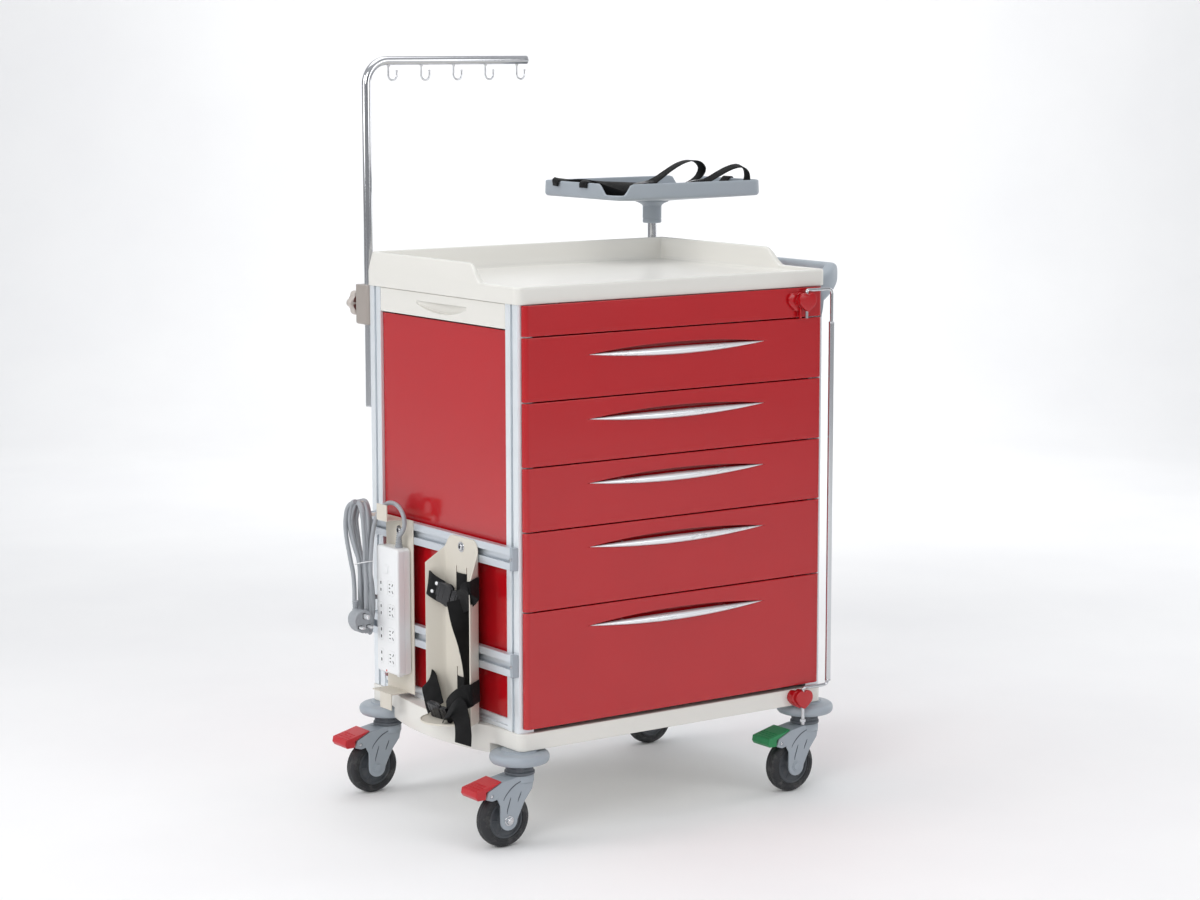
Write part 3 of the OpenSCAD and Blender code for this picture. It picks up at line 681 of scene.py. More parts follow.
def drawer_handle(i):
    """Lens-shaped satin bar, bowed towards the user, with two short posts."""
    zh = Z_EDGE[i] - 36
    rs = []
    N = 72
    for k in range(N + 1):
        t = -1 + 2 * k / N
        x = 186 * t
        c = max(1 - t * t, 0.0)
        zt, zb = zh + 2.6 * c + 0.35, zh - 10 * c - 0.35
        yf, yb = -247.2 - 9.8 * c, -245.0 - 0.6 * c
        zc, hz = (zt + zb) / 2, (zt - zb) / 2
        ring = []
        for j in range(13):
            a = math.radians(90 - 180 * j / 12)
            cs, sn = math.cos(a), math.sin(a)
            ring.append((x, yb + (yf - yb) * (abs(cs) ** 0.62), zc + hz * math.copysign(abs(sn) ** 0.86, sn)))
        ring.append((x, yb + 0.01, zc - hz * 0.55))
        ring.append((x, yb + 0.02, zc))
        ring.append((x, yb + 0.01, zc + hz * 0.55))
        rs.append(ring)
    parts = [rings(rs)]
    for s in (-1, 1):
        prof = [(4.0, -234.2), (4.0, -243.5), (4.6, -245.2), (4.6, -246.5)]
        parts.append(lathe(prof, 24, (s * 110, 0, zh - 3), "Y"))
    V, F = merge(parts)
    build(f"drawer_{i + 1}_grip", V, F, "handle_silver", f"drawer_{i + 1}", 50, (f"drawer_{i + 1}_handle",))


for i in range(5):
    drawer_handle(i)


def push_handle():
    """Moulded bar with two arms that curve down into tapering brackets on the right-hand posts."""
    half = [(332, 207, 903), (342, 207, 909), (356, 205, 918), (370, 200, 927), (382, 191, 933), (389, 178, 935), (392, 160, 935)]
    path = [(x, -y, z) for x, y, z in half] + [(392.5, -120, 935), (392.5, -60, 935), (392.5, 0, 935), (392.5, 60, 935), (392.5, 120, 935)] + [(x, y, z) for x, y, z in half[::-1]]
    P = smooth_path(path, 7)
    n = len(P)
    rs = []
    L = [0]
    for i in range(1, n):
        L.append(L[-1] + (P[i] - P[i - 1]).length)
    for i, (p, (t, s, u)) in enumerate(zip(P, frames(P, (0, 0, 1)))):
        e = min(L[i], L[-1] - L[i])
        k = min(e / 90, 1)
        k = k * k * (3 - 2 * k)
        hw, hh = 15 - 3.0 * k, 21 - 4.5 * k
        ring = []
        for j in range(28):
            a = 2 * math.pi * j / 28
            ca, sa = math.cos(a), math.sin(a)
            ring.append(p + s * (hw * math.copysign(abs(ca) ** 0.55, ca)) + u * (hh * math.copysign(abs(sa) ** 0.6, sa)))
        rs.append(ring)
    parts = [rings(rs)]
    for s in (-1, 1):
        # plate on the side of the post, drawn in YZ
        out = [(s * 189, 917), (s * 189, 896), (s * 195, 878), (s * 203, 866), (s * 212, 861), (s * 222, 862), (s * 227, 868), (s * 227, 917)]
        if s < 0:
            out = out[::-1]
        sm = []
        for a, b in zip(out, out[1:] + out[:1]):
            for t in (0.04, 0.5, 0.96):
                sm.append((a[0] + (b[0] - a[0]) * t, a[1] + (b[1] - a[1]) * t))
        parts.append(prism(sm, 325.4, 331.5, 0, 1.8, 3, yz_to))
    # lip round the front of the front post, tapering to a point
    lip = [(318.8, 917), (318.8, 860.5), (321, 862), (323.2, 868), (325.4, 878), (327.0, 892), (327.8, 905), (328, 917)]
    sm = []
    for a, b in zip(lip, lip[1:] + lip[:1]):
        for t in (0.05, 0.5, 0.95):
            sm.append((a[0] + (b[0] - a[0]) * t, a[1] + (b[1] - a[1]) * t))
    parts.append(prism(sm[::-1], -240.2, -237.2, 0.8, 0, 2, xz_to))
    parts.append(prism([(325.4, 880), (327.9, 900), (327.9, 917), (325.4, 917)], -239.8, -215, 0.5, 0, 2, xz_to))
    V, F = merge(parts)
    build("push_handle_moulding", V, F, "grey_plastic", "cart", 38, ("push_handle",))


push_handle()

# ------------------------------------------------------------------ locking bar


def heart():
    """Heart outline round its own middle, two full lobes and a rounded point, anticlockwise."""
    right = []
    for k in range(15):
        a = math.radians(131.5 - k * (131.5 + 38) / 14)
        right.append((8.5 + 12.5 * math.cos(a), 4 + 12.5 * math.sin(a)))
    right += [(14.2, -7.9), (8.8, -12.0), (4.6, -14.9), (2.2, -16.1)]
    right[0] = (0.25, right[0][1])
    left = [(-x, z) for x, z in right][::-1]
    return (right + [(0, -16.6)] + left)[::-1]


def lock_brackets():
    parts = []

    def at(cx, cz, kx=0.9, kz=1.0):
        return [(cx + x * kx, cz + z * kz) for x, z in heart()]
    # upper: heart plate on the fascia, a neck, the front heart and a small peg below the plate
    hz = 892.5
    parts.append(prism(at(271, hz), -266, -259.0, 1.5, 0.8, 4, xz_to))
    parts.append(prism(at(255.5, hz + 0.6), -253.4, -248.1, 1.2, 0, 3, xz_to))
    neck = [(262 + 10.5 * math.cos(2 * math.pi * k / 40), hz + 1 + 10.5 * math.sin(2 * math.pi * k / 40)) for k in range(40)]
    parts.append(prism(neck, -259.4, -253.0, 0, 0, 3, xz_to))
    parts.append(prism(rounded_rect(4.2, 20, 1.8, 4, 261, hz - 18.5), -257, -252.5, 0.5, 0.5, 2, xz_to))
    # lower: front heart on a thick back heart
    parts.append(prism(at(271, 177.3), -266, -259.0, 1.5, 0.8, 4, xz_to))
    parts.append(prism(at(265, 177.6, 0.86, 0.96), -259.4, -244.1, 0.8, 0, 3, xz_to))
    V, F = merge(parts)
    build("lock_bracket_hearts", V, F, "red_plastic", "cart", 40, ("lock_brackets",))


lock_brackets()
keep("lock_bar")
for nm, z0, z1, r in (("lock_bar_sleeve_top", 851.5, 855, 5.25), ("lock_bar_sleeve_low", 204, 207.5, 5.25)):
    V, F = lathe([(3.05, z0), (r - 0.5, z0), (r, z0 + 0.6), (r, z1 - 0.6), (r - 0.5, z1), (3.05, z1)], 32, (328, -260, 0))
    build(nm, V, F, "chrome", "lock_bar", 40)

# ------------------------------------------------------------------ clamps, knob, pole ends


def clamps():
    parts = []
    for x0, x1, bx_, r, yb in ((-330, -294, -312, 8.1, 281), (299, 335, 318, 8.6, 283)):
        out = rounded_rect(x1 - x0, yb - 237.2, 5.5, 5, (x0 + x1) / 2, (yb + 237.2) / 2)
        parts.append(prism(out, 846, 916.8, 4.0, 1.6, 4))
        # raised pad round the screw
        for z in (858, 905):
            parts.append(lathe([(0.01, yb + 0.8), (5.2, yb + 0.8), (6.0, yb), (6.0, yb - 1)], 24, ((x0 + x1) / 2 + (11 if x0 < 0 else 12), 0, z), "Y"))
    V, F = merge(parts)
    build("pole_clamp_castings", V, F, "clamp_cast", "cart", 40, ("pole_clamps",), slot="frame_aluminium")


clamps()


def clamp_knob():
    cx_, cz = -312, 882
    rs = []
    N = 96

    def lobe(a, r0, depth):
        return r0 - depth * (0.5 - 0.5 * math.cos(6 * a)) ** 1.3
    prof = [(0.62, 286.6), (0.86, 286.8), (0.95, 287.6), (1.0, 290), (1.0, 300), (0.965, 302.6), (0.88, 304)]
    for k, y in prof:
        rs.append([(cx_ + k * lobe(a, 24, 4.6) * math.cos(a), y, cz + k * lobe(a, 24, 4.6) * math.sin(a)) for a in (2 * math.pi * i / N for i in range(N))])
    rs.append([(cx_ + 0.8 * 20 * math.cos(a), 304.4, cz + 0.8 * 20 * math.sin(a)) for a in (2 * math.pi * i / N for i in range(N))])
    body = rings(rs)
    V, F = merge([body, lathe([(4, 270.3), (4, 283), (8.8, 283.2), (9.4, 284), (9.4, 287.5)], 40, (cx_, 0, cz), "Y")])
    build("clamp_knob_lobes", V, F, "knob_rim", "clamp_knob", 40, ("clamp_knob",), slot="knob_brown")
    # recessed ribs on the side that faces the trolley, and the same on the outside
    parts = []
    for y0, y1 in ((285.9, 287.0), (304.0, 304.9)):
        for j in range(6):
            a0 = 2 * math.pi * (j + 0.12) / 6
            a1 = 2 * math.pi * (j + 0.88) / 6
            inner_, outer = 9.6, 18.2
            poly = [(cx_ + inner_ * math.cos(a0 + (a1 - a0) * t / 6), cz + inner_ * math.sin(a0 + (a1 - a0) * t / 6)) for t in range(7)]
            poly += [(cx_ + outer * math.cos(a1 + (a0 - a1) * t / 6), cz + outer * math.sin(a1 + (a0 - a1) * t / 6)) for t in range(7)]
            parts.append(prism(poly[::-1], y0, y1, 0, 0, 1, xz_to))
        parts.append(lathe([(0.01, y0), (7.8, y0), (8.2, y0 + 0.3), (8.2, y1)], 32, (cx_, 0, cz), "Y"))
    V, F = merge(parts)
    build("clamp_knob_ribs", V, F, "knob_brown", "clamp_knob", 40)


clamp_knob()


def pole_details():
    # rounded plug in the hook bar's end, and a weld bead where each hook meets the bar
    parts = [lathe([(7.6, 27.6), (8.0, 28.0), (8.0, 28.6), (7.2, 29.6), (4.5, 30.2), (0.01, 30.4)], 32, (0, 262, 1313), "X")]
    for i in range(5):
        x = -312 + 46 + i * 68.5
        parts.append(lathe([(1.85, 1302.0), (2.6, 1303.4), (3.2, 1305.4), (3.6, 1306.4)], 20, (x, 262, 0), "Z"))
        # small ball at each hook's tip
        ball = [(0.01, 1292.2)] + [(2.2 * math.sin(math.pi * k / 8), 1294.4 - 2.2 * math.cos(math.pi * k / 8)) for k in range(1, 8)] + [(0.01, 1296.6)]
        parts.append(lathe(ball, 16, (x + 17.2, 262, 0), "Z"))
    parts.append(lathe([(7.4, 696.2), (8.05, 697.0), (8.05, 699)], 32, (-312, 262, 0), "Z"))
    V, F = merge(parts)
    build("iv_pole_details", V, F, "chrome", "iv_pole", 40)


pole_details()

# ------------------------------------------------------------------ power strip and cord


def power_fittings():
    rounded("power_bracket", 0.5, 2)
    out = rounded_rect(73, 227, 7, 6, 120.5, 352.5)
    parts = [prism(out, -366.5, -353.2, 4.2, 0, 5, yz_to)]
    parts.append(prism(inset(out, 0.9), -353.4, -352.2, 0, 0, 1, yz_to))
    parts.append(prism(out, -352.4, -339.7, 0, 2.2, 3, yz_to))
    for y in (100, 141):
        parts.append(prism(rounded_rect(9, 6, 2, 3, y, 237.6), -358, -349, 0.8, 0.8, 2, yz_to))
    # bezel round the switch
    parts.append(prism(rounded_rect(16.4, 16.4, 2.0, 4, 121, 426.7), -366.95, -366, 0.4, 0, 2, yz_to))
    V, F = merge(parts)
    build("power_strip_case", V, F, "white_plastic", "cart", 38, ("power_strip",))
    # painted shade in the socket slots: dark prisms sunk to the surface
    dark = []

    def slot_box(y, z, w, h, turn=0.0):
        poly = rounded_rect(w, h, min(w, h) * 0.3, 2)
        c, s = math.cos(turn), math.sin(turn)
        dark.append(prism([(y + a * c - b * s, z + a * s + b * c) for a, b in poly], -366.62, -364.5, 0, 0, 1, yz_to))
    for i in range(4):
        z = 267.5 + i * 42
        slot_box(141, z + 6.0, 3.2, 5.4)
        slot_box(141, z - 6.6, 3.2, 5.4)
        for d in (-6.4, 0, 6.4):
            slot_box(111.5, z + d, 4.6, 1.9)
        slot_box(101.8, z + 6.2, 2.0, 6.0, 0.6)
        slot_box(101.8, z - 6.2, 2.0, 6.0, -0.6)
    V, F = merge(dark)
    build("power_strip_slot_shade", V, F, "socket_dark", "cart", 38, slot="white_plastic")
    rim = []
    for i in range(4):
        z = 267.5 + i * 42
        for cy_, w in ((141, 15), (107, 24)):
            o = rounded_rect(w, 27, 5, 5, cy_, z)
            i_ = inset(o, 0.55)
            n = len(o)
            vs = [(-366.5, a, b) for a, b in o] + [(-366.78, a, b) for a, b in inset(o, 0.18)] + [(-366.78, a, b) for a, b in inset(o, 0.38)] + [(-366.5, a, b) for a, b in i_]
            fs = [(r * n + k, r * n + (k + 1) % n, ((r + 1) % 4) * n + (k + 1) % n, ((r + 1) % 4) * n + k) for r in range(4) for k in range(n)]
            rim.append((vs, fs))
    V, F = merge(rim)
    build("power_strip_outlines", V, F, "white_plastic", "cart", 38)
    V, F = lathe([(0.01, -367.3), (1.3, -367.1), (1.9, -366.6), (1.9, -365.5)], 24, (0, 124.5, 243), "X")
    build("power_strip_lamp", V, F, "indicator", "cart", 38, slot="pedal_red")
    out = rounded_rect(12.8, 12.8, 1.4, 4, 121, 426.7)
    rs = [[(-363.4 + 0, a, b) for a, b in out]]
    for k in range(7):
        t = k / 6
        rs.append([(-368 + 1.6 * (1 - math.cos(math.pi / 2 * t)) * 0 + 0.9 * ((b - 426.7) / 6.4) * 0.9 - 0.1 + (1 - math.sin(math.pi / 2 * (1 - t * 0.5))) * 0, a, b) for a, b in inset(out, 0.9 * t)])
    V, F = rings(rs)
    build("power_switch_rocker", V, F, "white_plastic", "power_switch", 30, ("power_switch",))


power_fittings()


def power_cord():
    parts = []
    # ribbed strain relief
    prof = [(6.6, 466.2), (6.9, 468)]
    for k in range(5):
        z = 469.5 + k * 4.2
        r = 6.4 - k * 0.45
        prof += [(r, z), (r, z + 2.2), (r - 1.5, z + 2.6), (r - 1.5, z + 3.8)]
    prof += [(4.2, 491.0), (3.7, 493)]
    parts.append(lathe(prof, 28, (-352, 102, 0), "Z"))
    lead = [(-352, 101, 486), (-352, 93, 493), (-352.5, 84, 503), (-353, 80.5, 515), (-353.5, 84, 527), (-354, 94, 537), (-355, 107, 543), (-357, 121, 544), (-360, 134, 539), (-364, 146, 527), (-369, 154, 508), (-374, 156, 480), (-377, 157, 447), (-378, 157, 415), (-375, 160, 388), (-366, 170, 372), (-352, 178, 366), (-342.5, 182, 372)]
    parts.append(tube(smooth_path(lead, 8), 3.9, 16))
    # hank: turns hung over the hook, squeezed by a tie
    tab = [(297, 5), (303, 9), (330, 15), (357, 18), (394, 16), (426, 15), (438, 16), (452, 22), (475, 28), (500, 31), (520, 31), (550, 30)]
    mid = [(297, 167), (357, 168), (394, 172), (426, 178), (450, 184), (475, 189), (500, 194), (550, 192)]

    def look(t, z):
        for (a0, b0), (a1, b1) in zip(t, t[1:]):
            if z <= a1:
                return b0 + (b1 - b0) * max(0.0, (z - a0) / (a1 - a0))
        return t[-1][1]
    P = []
    turns = 5
    per = 56
    for i in range(turns * per + 1):
        a = 2 * math.pi * i / per
        k = i / per
        lane = (k - turns / 2) / (turns / 2)
        top = 540 - 3.5 * abs(math.sin(1.9 * k))
        low = 303 + 10 * abs(math.sin(1.3 * k + 0.6))
        z = (top + low) / 2 + (top - low) / 2 * math.cos(a)
        sn = math.sin(a)
        half = (look(tab, z) - 3.5) * (1.0 - 0.22 * abs(math.sin(2.3 * k + 0.4)))
        y = look(mid, z) + half * (1 if sn > 0 else -1) * min(1.0, abs(sn) * 1.35) ** 0.75 + 2.0 * math.sin(3.1 * k + z * 0.02)
        squeeze = 1 - 0.5 * math.exp(-((z - 432) / 40.0) ** 2)
        P.append(Vector((-379 + 9.0 * lane * squeeze + 2.2 * math.sin(a + 1.7 * k) * squeeze, y, z)))
    parts.append(tube(P, 3.9, 14))
    # the end that leaves the hank for the plug
    end = [tuple(P[-1]), (-389, 208, 532), (-391, 219, 508), (-391.5, 218, 478), (-391.5, 206, 440), (-392, 194, 410), (-394, 187, 385), (-398, 180, 368), (-400, 176, 360)]
    parts.append(tube(smooth_path(end, 8), 3.9, 14))
    parts.append(lathe([(3.95, 366)] + [(5.2 - 0.12 * k + (1.2 if k % 2 else 0), 365.5 - k * 1.6) for k in range(10)] + [(6.4, 349)], 24, (-400.5, 172.5, 0), "Z"))
    V, F = merge(parts)
    build("power_cord_hank", V, F, "cord_grey", "cart", 45, ("power_cord",))
    # wire tie
    tie = [(-380 + 11.5 * math.cos(a), 176 + 23.5 * math.sin(a), 431 - 6 * math.sin(a)) for a in (2 * math.pi * k / 48 for k in range(48))]
    V, F = tube(tie, 0.8, 8, closed=True)
    build("power_cord_tie", V, F, "white_plastic", "cart", 45)
    # moulded plug with three flat pins, facing the front
    out = []
    for k in range(48):
        a = 2 * math.pi * k / 48
        r = 22.5 * (1 - 0.10 * math.sin(a)) * (1 - 0.05 * math.cos(2 * a))
        out.append((-399 + r * 0.50 * math.cos(a), 339 + r * math.sin(a)))
    out = [(-399 + 20.5 * math.cos(2 * math.pi * k / 48) * (0.88 + 0.1 * math.sin(2 * math.pi * k / 48)), 331 + 20.5 * math.sin(2 * math.pi * k / 48)) for k in range(48)]
    body = prism(out, 146, 178, 2.0, 9.0, 6, xz_to)
    ridge = prism([(-399 + (x + 399) * 0.74, 331 + (z - 331) * 0.74) for x, z in out], 145.0, 147, 0.8, 0, 2, xz_to)
    V, F = merge([body, ridge])
    build("power_plug", V, F, "cord_grey", "cart", 45)
    pins = [prism(rounded_rect(3.8, 7.6, 0.9, 3, -399, 341.5), 129, 146, 1.0, 0, 2, xz_to)]
    for x in (-407.5, -390.5):
        pins.append(prism(rounded_rect(6.2, 3.8, 0.9, 3, x, 322.5), 131, 146, 1.0, 0, 2, xz_to))
    V, F = merge(pins)
    build("power_plug_pins", V, F, "handle_silver", "cart", 45)
    # painted shade in the recesses round the plug's pins: dark rims sunk into the face
    rec = [prism(rounded_rect(6.0, 10.0, 1.4, 3, -399, 341.5), 144.6, 146.5, 0.3, 0, 1, xz_to)]
    for x in (-407.5, -390.5):
        rec.append(prism(rounded_rect(8.6, 6.2, 1.4, 3, x, 322.5), 144.6, 146.5, 0.3, 0, 1, xz_to))
    V, F = merge(rec)
    build("power_plug_recess_shade", V, F, "socket_dark", "cart", 45, slot="white_plastic")


power_cord()

# ------------------------------------------------------------------ cylinder holder and its straps


def cylinder_holder():
    t32 = math.radians(32)
    c, s = math.cos(t32), math.sin(t32)
    xm = -338.0
    prof = []
    for k in range(8):
        d = 35 - 31 * k / 7
        prof.append((xm - d * c, -29 + d * s))
    for k in range(1, 6):
        a = math.radians(58 * k / 6)
        prof.append((xm - 3.0 * (1 - k / 6) ** 1.6, -29 + 1.6 - 3.4 * k / 6))
    ys = [-32 - 3 * k for k in range(11)] + [-64.7, -67.3, -70, -74, -78, -82, -86, -90, -94, -96.7, -99.3, -102, -106, -110, -114, -118, -122, -126, -130]
    prof += [(xm, y) for y in ys]
    left = [(x, -162 - y) for x, y in prof[:13]][::-1]
    prof += left

    def top(y):
        pts = [(-153, 440), (-134, 490), (-130, 501), (-125, 507.5), (-118, 510), (-54, 510), (-46, 508), (-38, 500), (-28, 486), (-10, 458), (-8, 455)]
        for (a, za), (b, zb) in zip(pts, pts[1:]):
            if a <= y <= b:
                return za + (zb - za) * (y - a) / (b - a)
        return pts[0][1] if y < -153 else pts[-1][1]
    zs = [196.4 + (224 - 196.4) * k / 4 for k in range(4)] + [224 + 48 * k / 6 for k in range(7)] + [272 + 120 * k / 12 for k in range(1, 13)] + [392 + 46 * k / 6 for k in range(1, 7)]
    nz0 = len(zs)
    extra = 7
    V, F = [], []
    cols = len(prof)
    for x, y in prof:
        tz = max(top(y), 439)
        col = list(zs) + [438 + (tz - 438) * k / extra for k in range(1, extra + 1)]
        V += [(x, y, z) for z in col]
    m = nz0 + extra
    for i in range(cols - 1):
        ya, yb = prof[i][1], prof[i + 1][1]
        cut = prof[i][0] == xm and ((abs(ya + 64.7) < 0.01 and abs(yb + 67.3) < 0.01) or (abs(ya + 96.7) < 0.01 and abs(yb + 99.3) < 0.01))
        for j in range(m - 1):
            z0 = V[i * m + j][2]
            if cut and (223.9 <= z0 < 275 or 399.6 <= z0 < 452):
                continue
            F.append((i * m + j, (i + 1) * m + j, (i + 1) * m + j + 1, i * m + j + 1))
    ob = build("cylinder_holder_sheet", V, F, "cream_metal", "cart", 30, ("cylinder_holder",))
    so = ob.modifiers.new("thick", "SOLIDIFY")
    so.thickness, so.offset = 0.002, 0
    be = ob.modifiers.new("edge", "BEVEL")
    be.width, be.segments, be.limit_method, be.angle_limit = 0.0004, 2, "ANGLE", math.radians(60)
    # foot plate with a rolled lip
    N = 72
    rs = []
    for r, z in ((0.5, 194.4), (49.0, 194.4), (49.9, 194.8), (50.0, 196.2), (49.6, 197.6), (48.6, 198.0), (47.8, 197.2), (46.8, 196.4), (0.5, 196.4)):
        rs.append([(min(-366 + r * math.cos(2 * math.pi * k / N), -337.2), -81 + r * math.sin(2 * math.pi * k / N), z) for k in range(N)])
    V, F = rings(rs)
    build("cylinder_holder_foot", V, F, "cream_metal", "cart", 35, weld=False)


cylinder_holder()


def buckle(name, centre, along, across, body, k=1.0):
    """Side-release buckle: along runs from the socket to the plug's far bar, across is the strap's width."""
    X = Vector(along).normalized()
    Y = (Vector(across) - X * Vector(across).dot(X)).normalized()
    Z = X.cross(Y)
    C = Vector(centre)

    def put(part):
        V, F = part
        return [tuple(C + X * (x * k) + Y * (y * k) + Z * (z * k)) for x, y, z in V], F

    def mirror(poly):
        return [(x, -y) for x, y in poly][::-1]
    shell = [(-22, -15), (-20, -17.5), (-4, -18.5), (2, -17.8), (4.5, -14.0), (6, -13.2), (6, 13.2), (4.5, 14.0), (2, 17.8), (-4, 18.5), (-20, 17.5), (-22, 15)]
    parts = [put(prism(shell, -4.6, 4.6, 1.6, 1.6, 3))]
    # plug: shoulder, two prongs that show at the sides, bar
    parts.append(put(prism([(6, -13), (11, -15.8), (12, 15.8 - 31.6), (24, -17.4), (24, 17.4), (12, 15.8), (11, 15.8), (6, 13)], -3.4, 3.4, 1.1, 1.1, 2)))
    for s in (-1, 1):
        prong = [(-6, 17.0), (-4, 20.2), (1, 19.8), (7, 16.5), (7, 13), (-2, 14)]
        pr = prong if s > 0 else mirror(prong)
        parts.append(put(prism(pr[::-1] if s > 0 else pr[::-1], -2.8, 2.8, 0.9, 0.9, 2)))
    # cross ridges
    for x in (-18, -9.5, 15.5, 20):
        parts.append(put(prism(rounded_rect(1.8, 26, 0.8, 3, x, 0), 3.2, 5.1 if x < 6 else 4.2, 0, 0.6, 2)))
    parts.append(put(prism(rounded_rect(4, 30, 1, 3, -24.5, 0), -2.6, 2.6, 0.8, 0.8, 2)))
    V, F = merge(parts)
    return build(name, V, F, "buckle", body, 38, slot="webbing")


def strap(name, pts, width, up, body, mat="webbing", per=9, thick=1.7, side=None, reps=()):
    P = smooth_path(pts, per)
    n = len(P)
    if isinstance(up, list):
        U = smooth_path(up, per)
        U = [u.normalized() for u in U]
    else:
        U = [Vector(up).normalized()] * n
    if side is not None:
        S = Vector(side).normalized()
        U = []
        for i in range(n):
            t = P[min(i + 1, n - 1)] - P[max(i - 1, 0)]
            U.append(S.cross(t).normalized())
    V, F, uv = ribbon(P, width, thick, U)
    return build(name, V, F, mat, body, 50, reps, uv=uv, weld=False)


def cylinder_straps():
    # upper band: out of the left wing to the buckle, then over the right wing's edge
    strap("cylinder_strap_upper_left", [(-360.5, -8, 424.5), (-363.5, -14.5, 424), (-365, -22, 422), (-363.5, -31, 418.5), (-360.5, -40, 415), (-357, -49, 411.5)], 41,
          [(-0.9, -0.44, 0), (-0.93, -0.36, 0), (-0.96, -0.28, 0), (-0.955, -0.295, 0), (-0.955, -0.295, 0), (-0.955, -0.295, 0)], "cart", reps=("cylinder_straps",))
    buckle("cylinder_buckle_upper", (-352.5, -62, 406.5), (0.274, -0.90, -0.333), (0.0, -0.2, 1), "cart", 1.04)
    strap("cylinder_strap_upper_right", [(-348, -84, 399), (-350.5, -98, 402), (-355, -116, 409), (-360.5, -135, 418), (-366.5, -149, 425), (-369.6, -153.2, 427.5), (-367, -154.6, 428), (-358, -149, 429), (-347, -142, 430), (-340, -137.6, 430)], 40,
          [(-0.95, -0.3, 0), (-0.95, -0.3, 0), (-0.95, -0.3, 0), (-0.93, -0.36, 0), (-0.8, -0.55, 0), (-0.85, -0.52, 0), (0.1, -0.99, 0), (0.53, -0.85, 0), (0.53, -0.85, 0), (0.53, -0.85, 0)], "cart")
    for z in (429, 248):
        strap(f"cylinder_strap_woven_{z}", [(-337.2, -65.4, z), (-339.8, -68.5, z), (-341.0, -73, z), (-341.2, -82, z), (-341.0, -91, z), (-339.8, -95.5, z), (-337.2, -98.6, z)], 38,
              [(-0.5, 0.86, 0), (-0.86, 0.5, 0), (-1, 0.1, 0), (-1, 0, 0), (-1, -0.1, 0), (-0.86, -0.5, 0), (-0.5, -0.86, 0)], "cart")
    # long tail that hangs from the upper buckle and turns against the right wing
    strap("cylinder_strap_tail", [(-354, -91, 404), (-354, -97, 388), (-354.5, -106, 366), (-356, -116, 340), (-358, -125, 312), (-359, -130, 284), (-359, -130, 262), (-359, -129, 246)], 37,
          [(-0.62, -0.78, 0), (-0.57, -0.82, 0), (-0.3, -0.95, 0), (0.15, -0.98, 0), (0.45, -0.89, 0), (0.6, -0.8, 0), (0.62, -0.78, 0), (0.62, -0.78, 0)], "cart")
    # lower band, slack: it drops out of the slot to a buckle lying on the foot
    strap("cylinder_strap_lower_left", [(-360.5, -8, 253), (-364, -14.5, 252), (-368, -23, 246), (-371, -34, 234), (-374, -45, 221), (-377, -56, 212)], 37,
          [(-0.9, -0.44, 0), (-0.9, -0.42, 0.1), (-0.9, -0.35, 0.25), (-0.88, -0.3, 0.36), (-0.86, -0.25, 0.44), (-0.86, -0.2, 0.46)], "cart")
    buckle("cylinder_buckle_lower", (-379, -73, 207), (0.12, -0.985, -0.10), (-0.42, -0.12, 0.9), "cart", 1.04)
    strap("cylinder_strap_lower_right", [(-378, -95, 207), (-380, -106, 216), (-380, -121, 230), (-377, -135, 241), (-372.5, -147, 248), (-370.5, -152.5, 250.5), (-367, -154.8, 251), (-358, -149.2, 252), (-347, -142, 252.5), (-340, -137.6, 253)], 39,
          [(-0.9, -0.1, 0.4), (-0.95, -0.15, 0.2), (-0.97, -0.22, 0.05), (-0.95, -0.3, 0), (-0.85, -0.5, 0), (-0.85, -0.52, 0), (0.1, -0.99, 0), (0.53, -0.85, 0), (0.53, -0.85, 0), (0.53, -0.85, 0)], "cart")
    strap("cylinder_strap_end", [(-381, -98, 210), (-385.5, -112, 220), (-388, -128, 228), (-388.5, -141, 229), (-387, -149.5, 219), (-384.5, -153, 203), (-383, -153, 186), (-383, -152, 168)], 38,
          [(-0.7, -0.1, 0.7), (-0.7, -0.15, 0.7), (-0.75, -0.2, 0.6), (-0.8, -0.35, 0.5), (-0.93, -0.33, 0.1), (-0.97, -0.24, 0), (-0.97, -0.24, 0), (-0.97, -0.24, 0)], "cart")
    # rivets through the upper strap
    parts = []
    n = Vector((-0.955, -0.295, 0))
    for x, y, z in ((-358.3, -37.5, 425.5), (-361.3, -27.3, 410.8)):
        base = Vector((x, y, z)) + n * 4.0
        R, H = [(3.4, -0.6), (3.3, 0.5), (2.6, 1.3), (1.4, 1.8), (0.05, 1.95)], 20
        U = Vector((0, 0, 1))
        T = n.cross(U)
        vs = [tuple(base + n * h + (T * math.cos(2 * math.pi * k / H) + U * math.sin(2 * math.pi * k / H)) * r) for r, h in R for k in range(H)]
        fs = [(q * H + k, q * H + (k + 1) % H, (q + 1) * H + (k + 1) % H, (q + 1) * H + k) for q in range(len(R) - 1) for k in range(H)]
        fs.append(tuple(range((len(R) - 1) * H, len(R) * H)))
        parts.append((vs, fs))
    V, F = merge(parts)
    build("cylinder_strap_rivets", V, F, "white_plastic", "cart", 40)


cylinder_straps()

# ------------------------------------------------------------------ defibrillator shelf

DX, DY = 317.0, 263.0


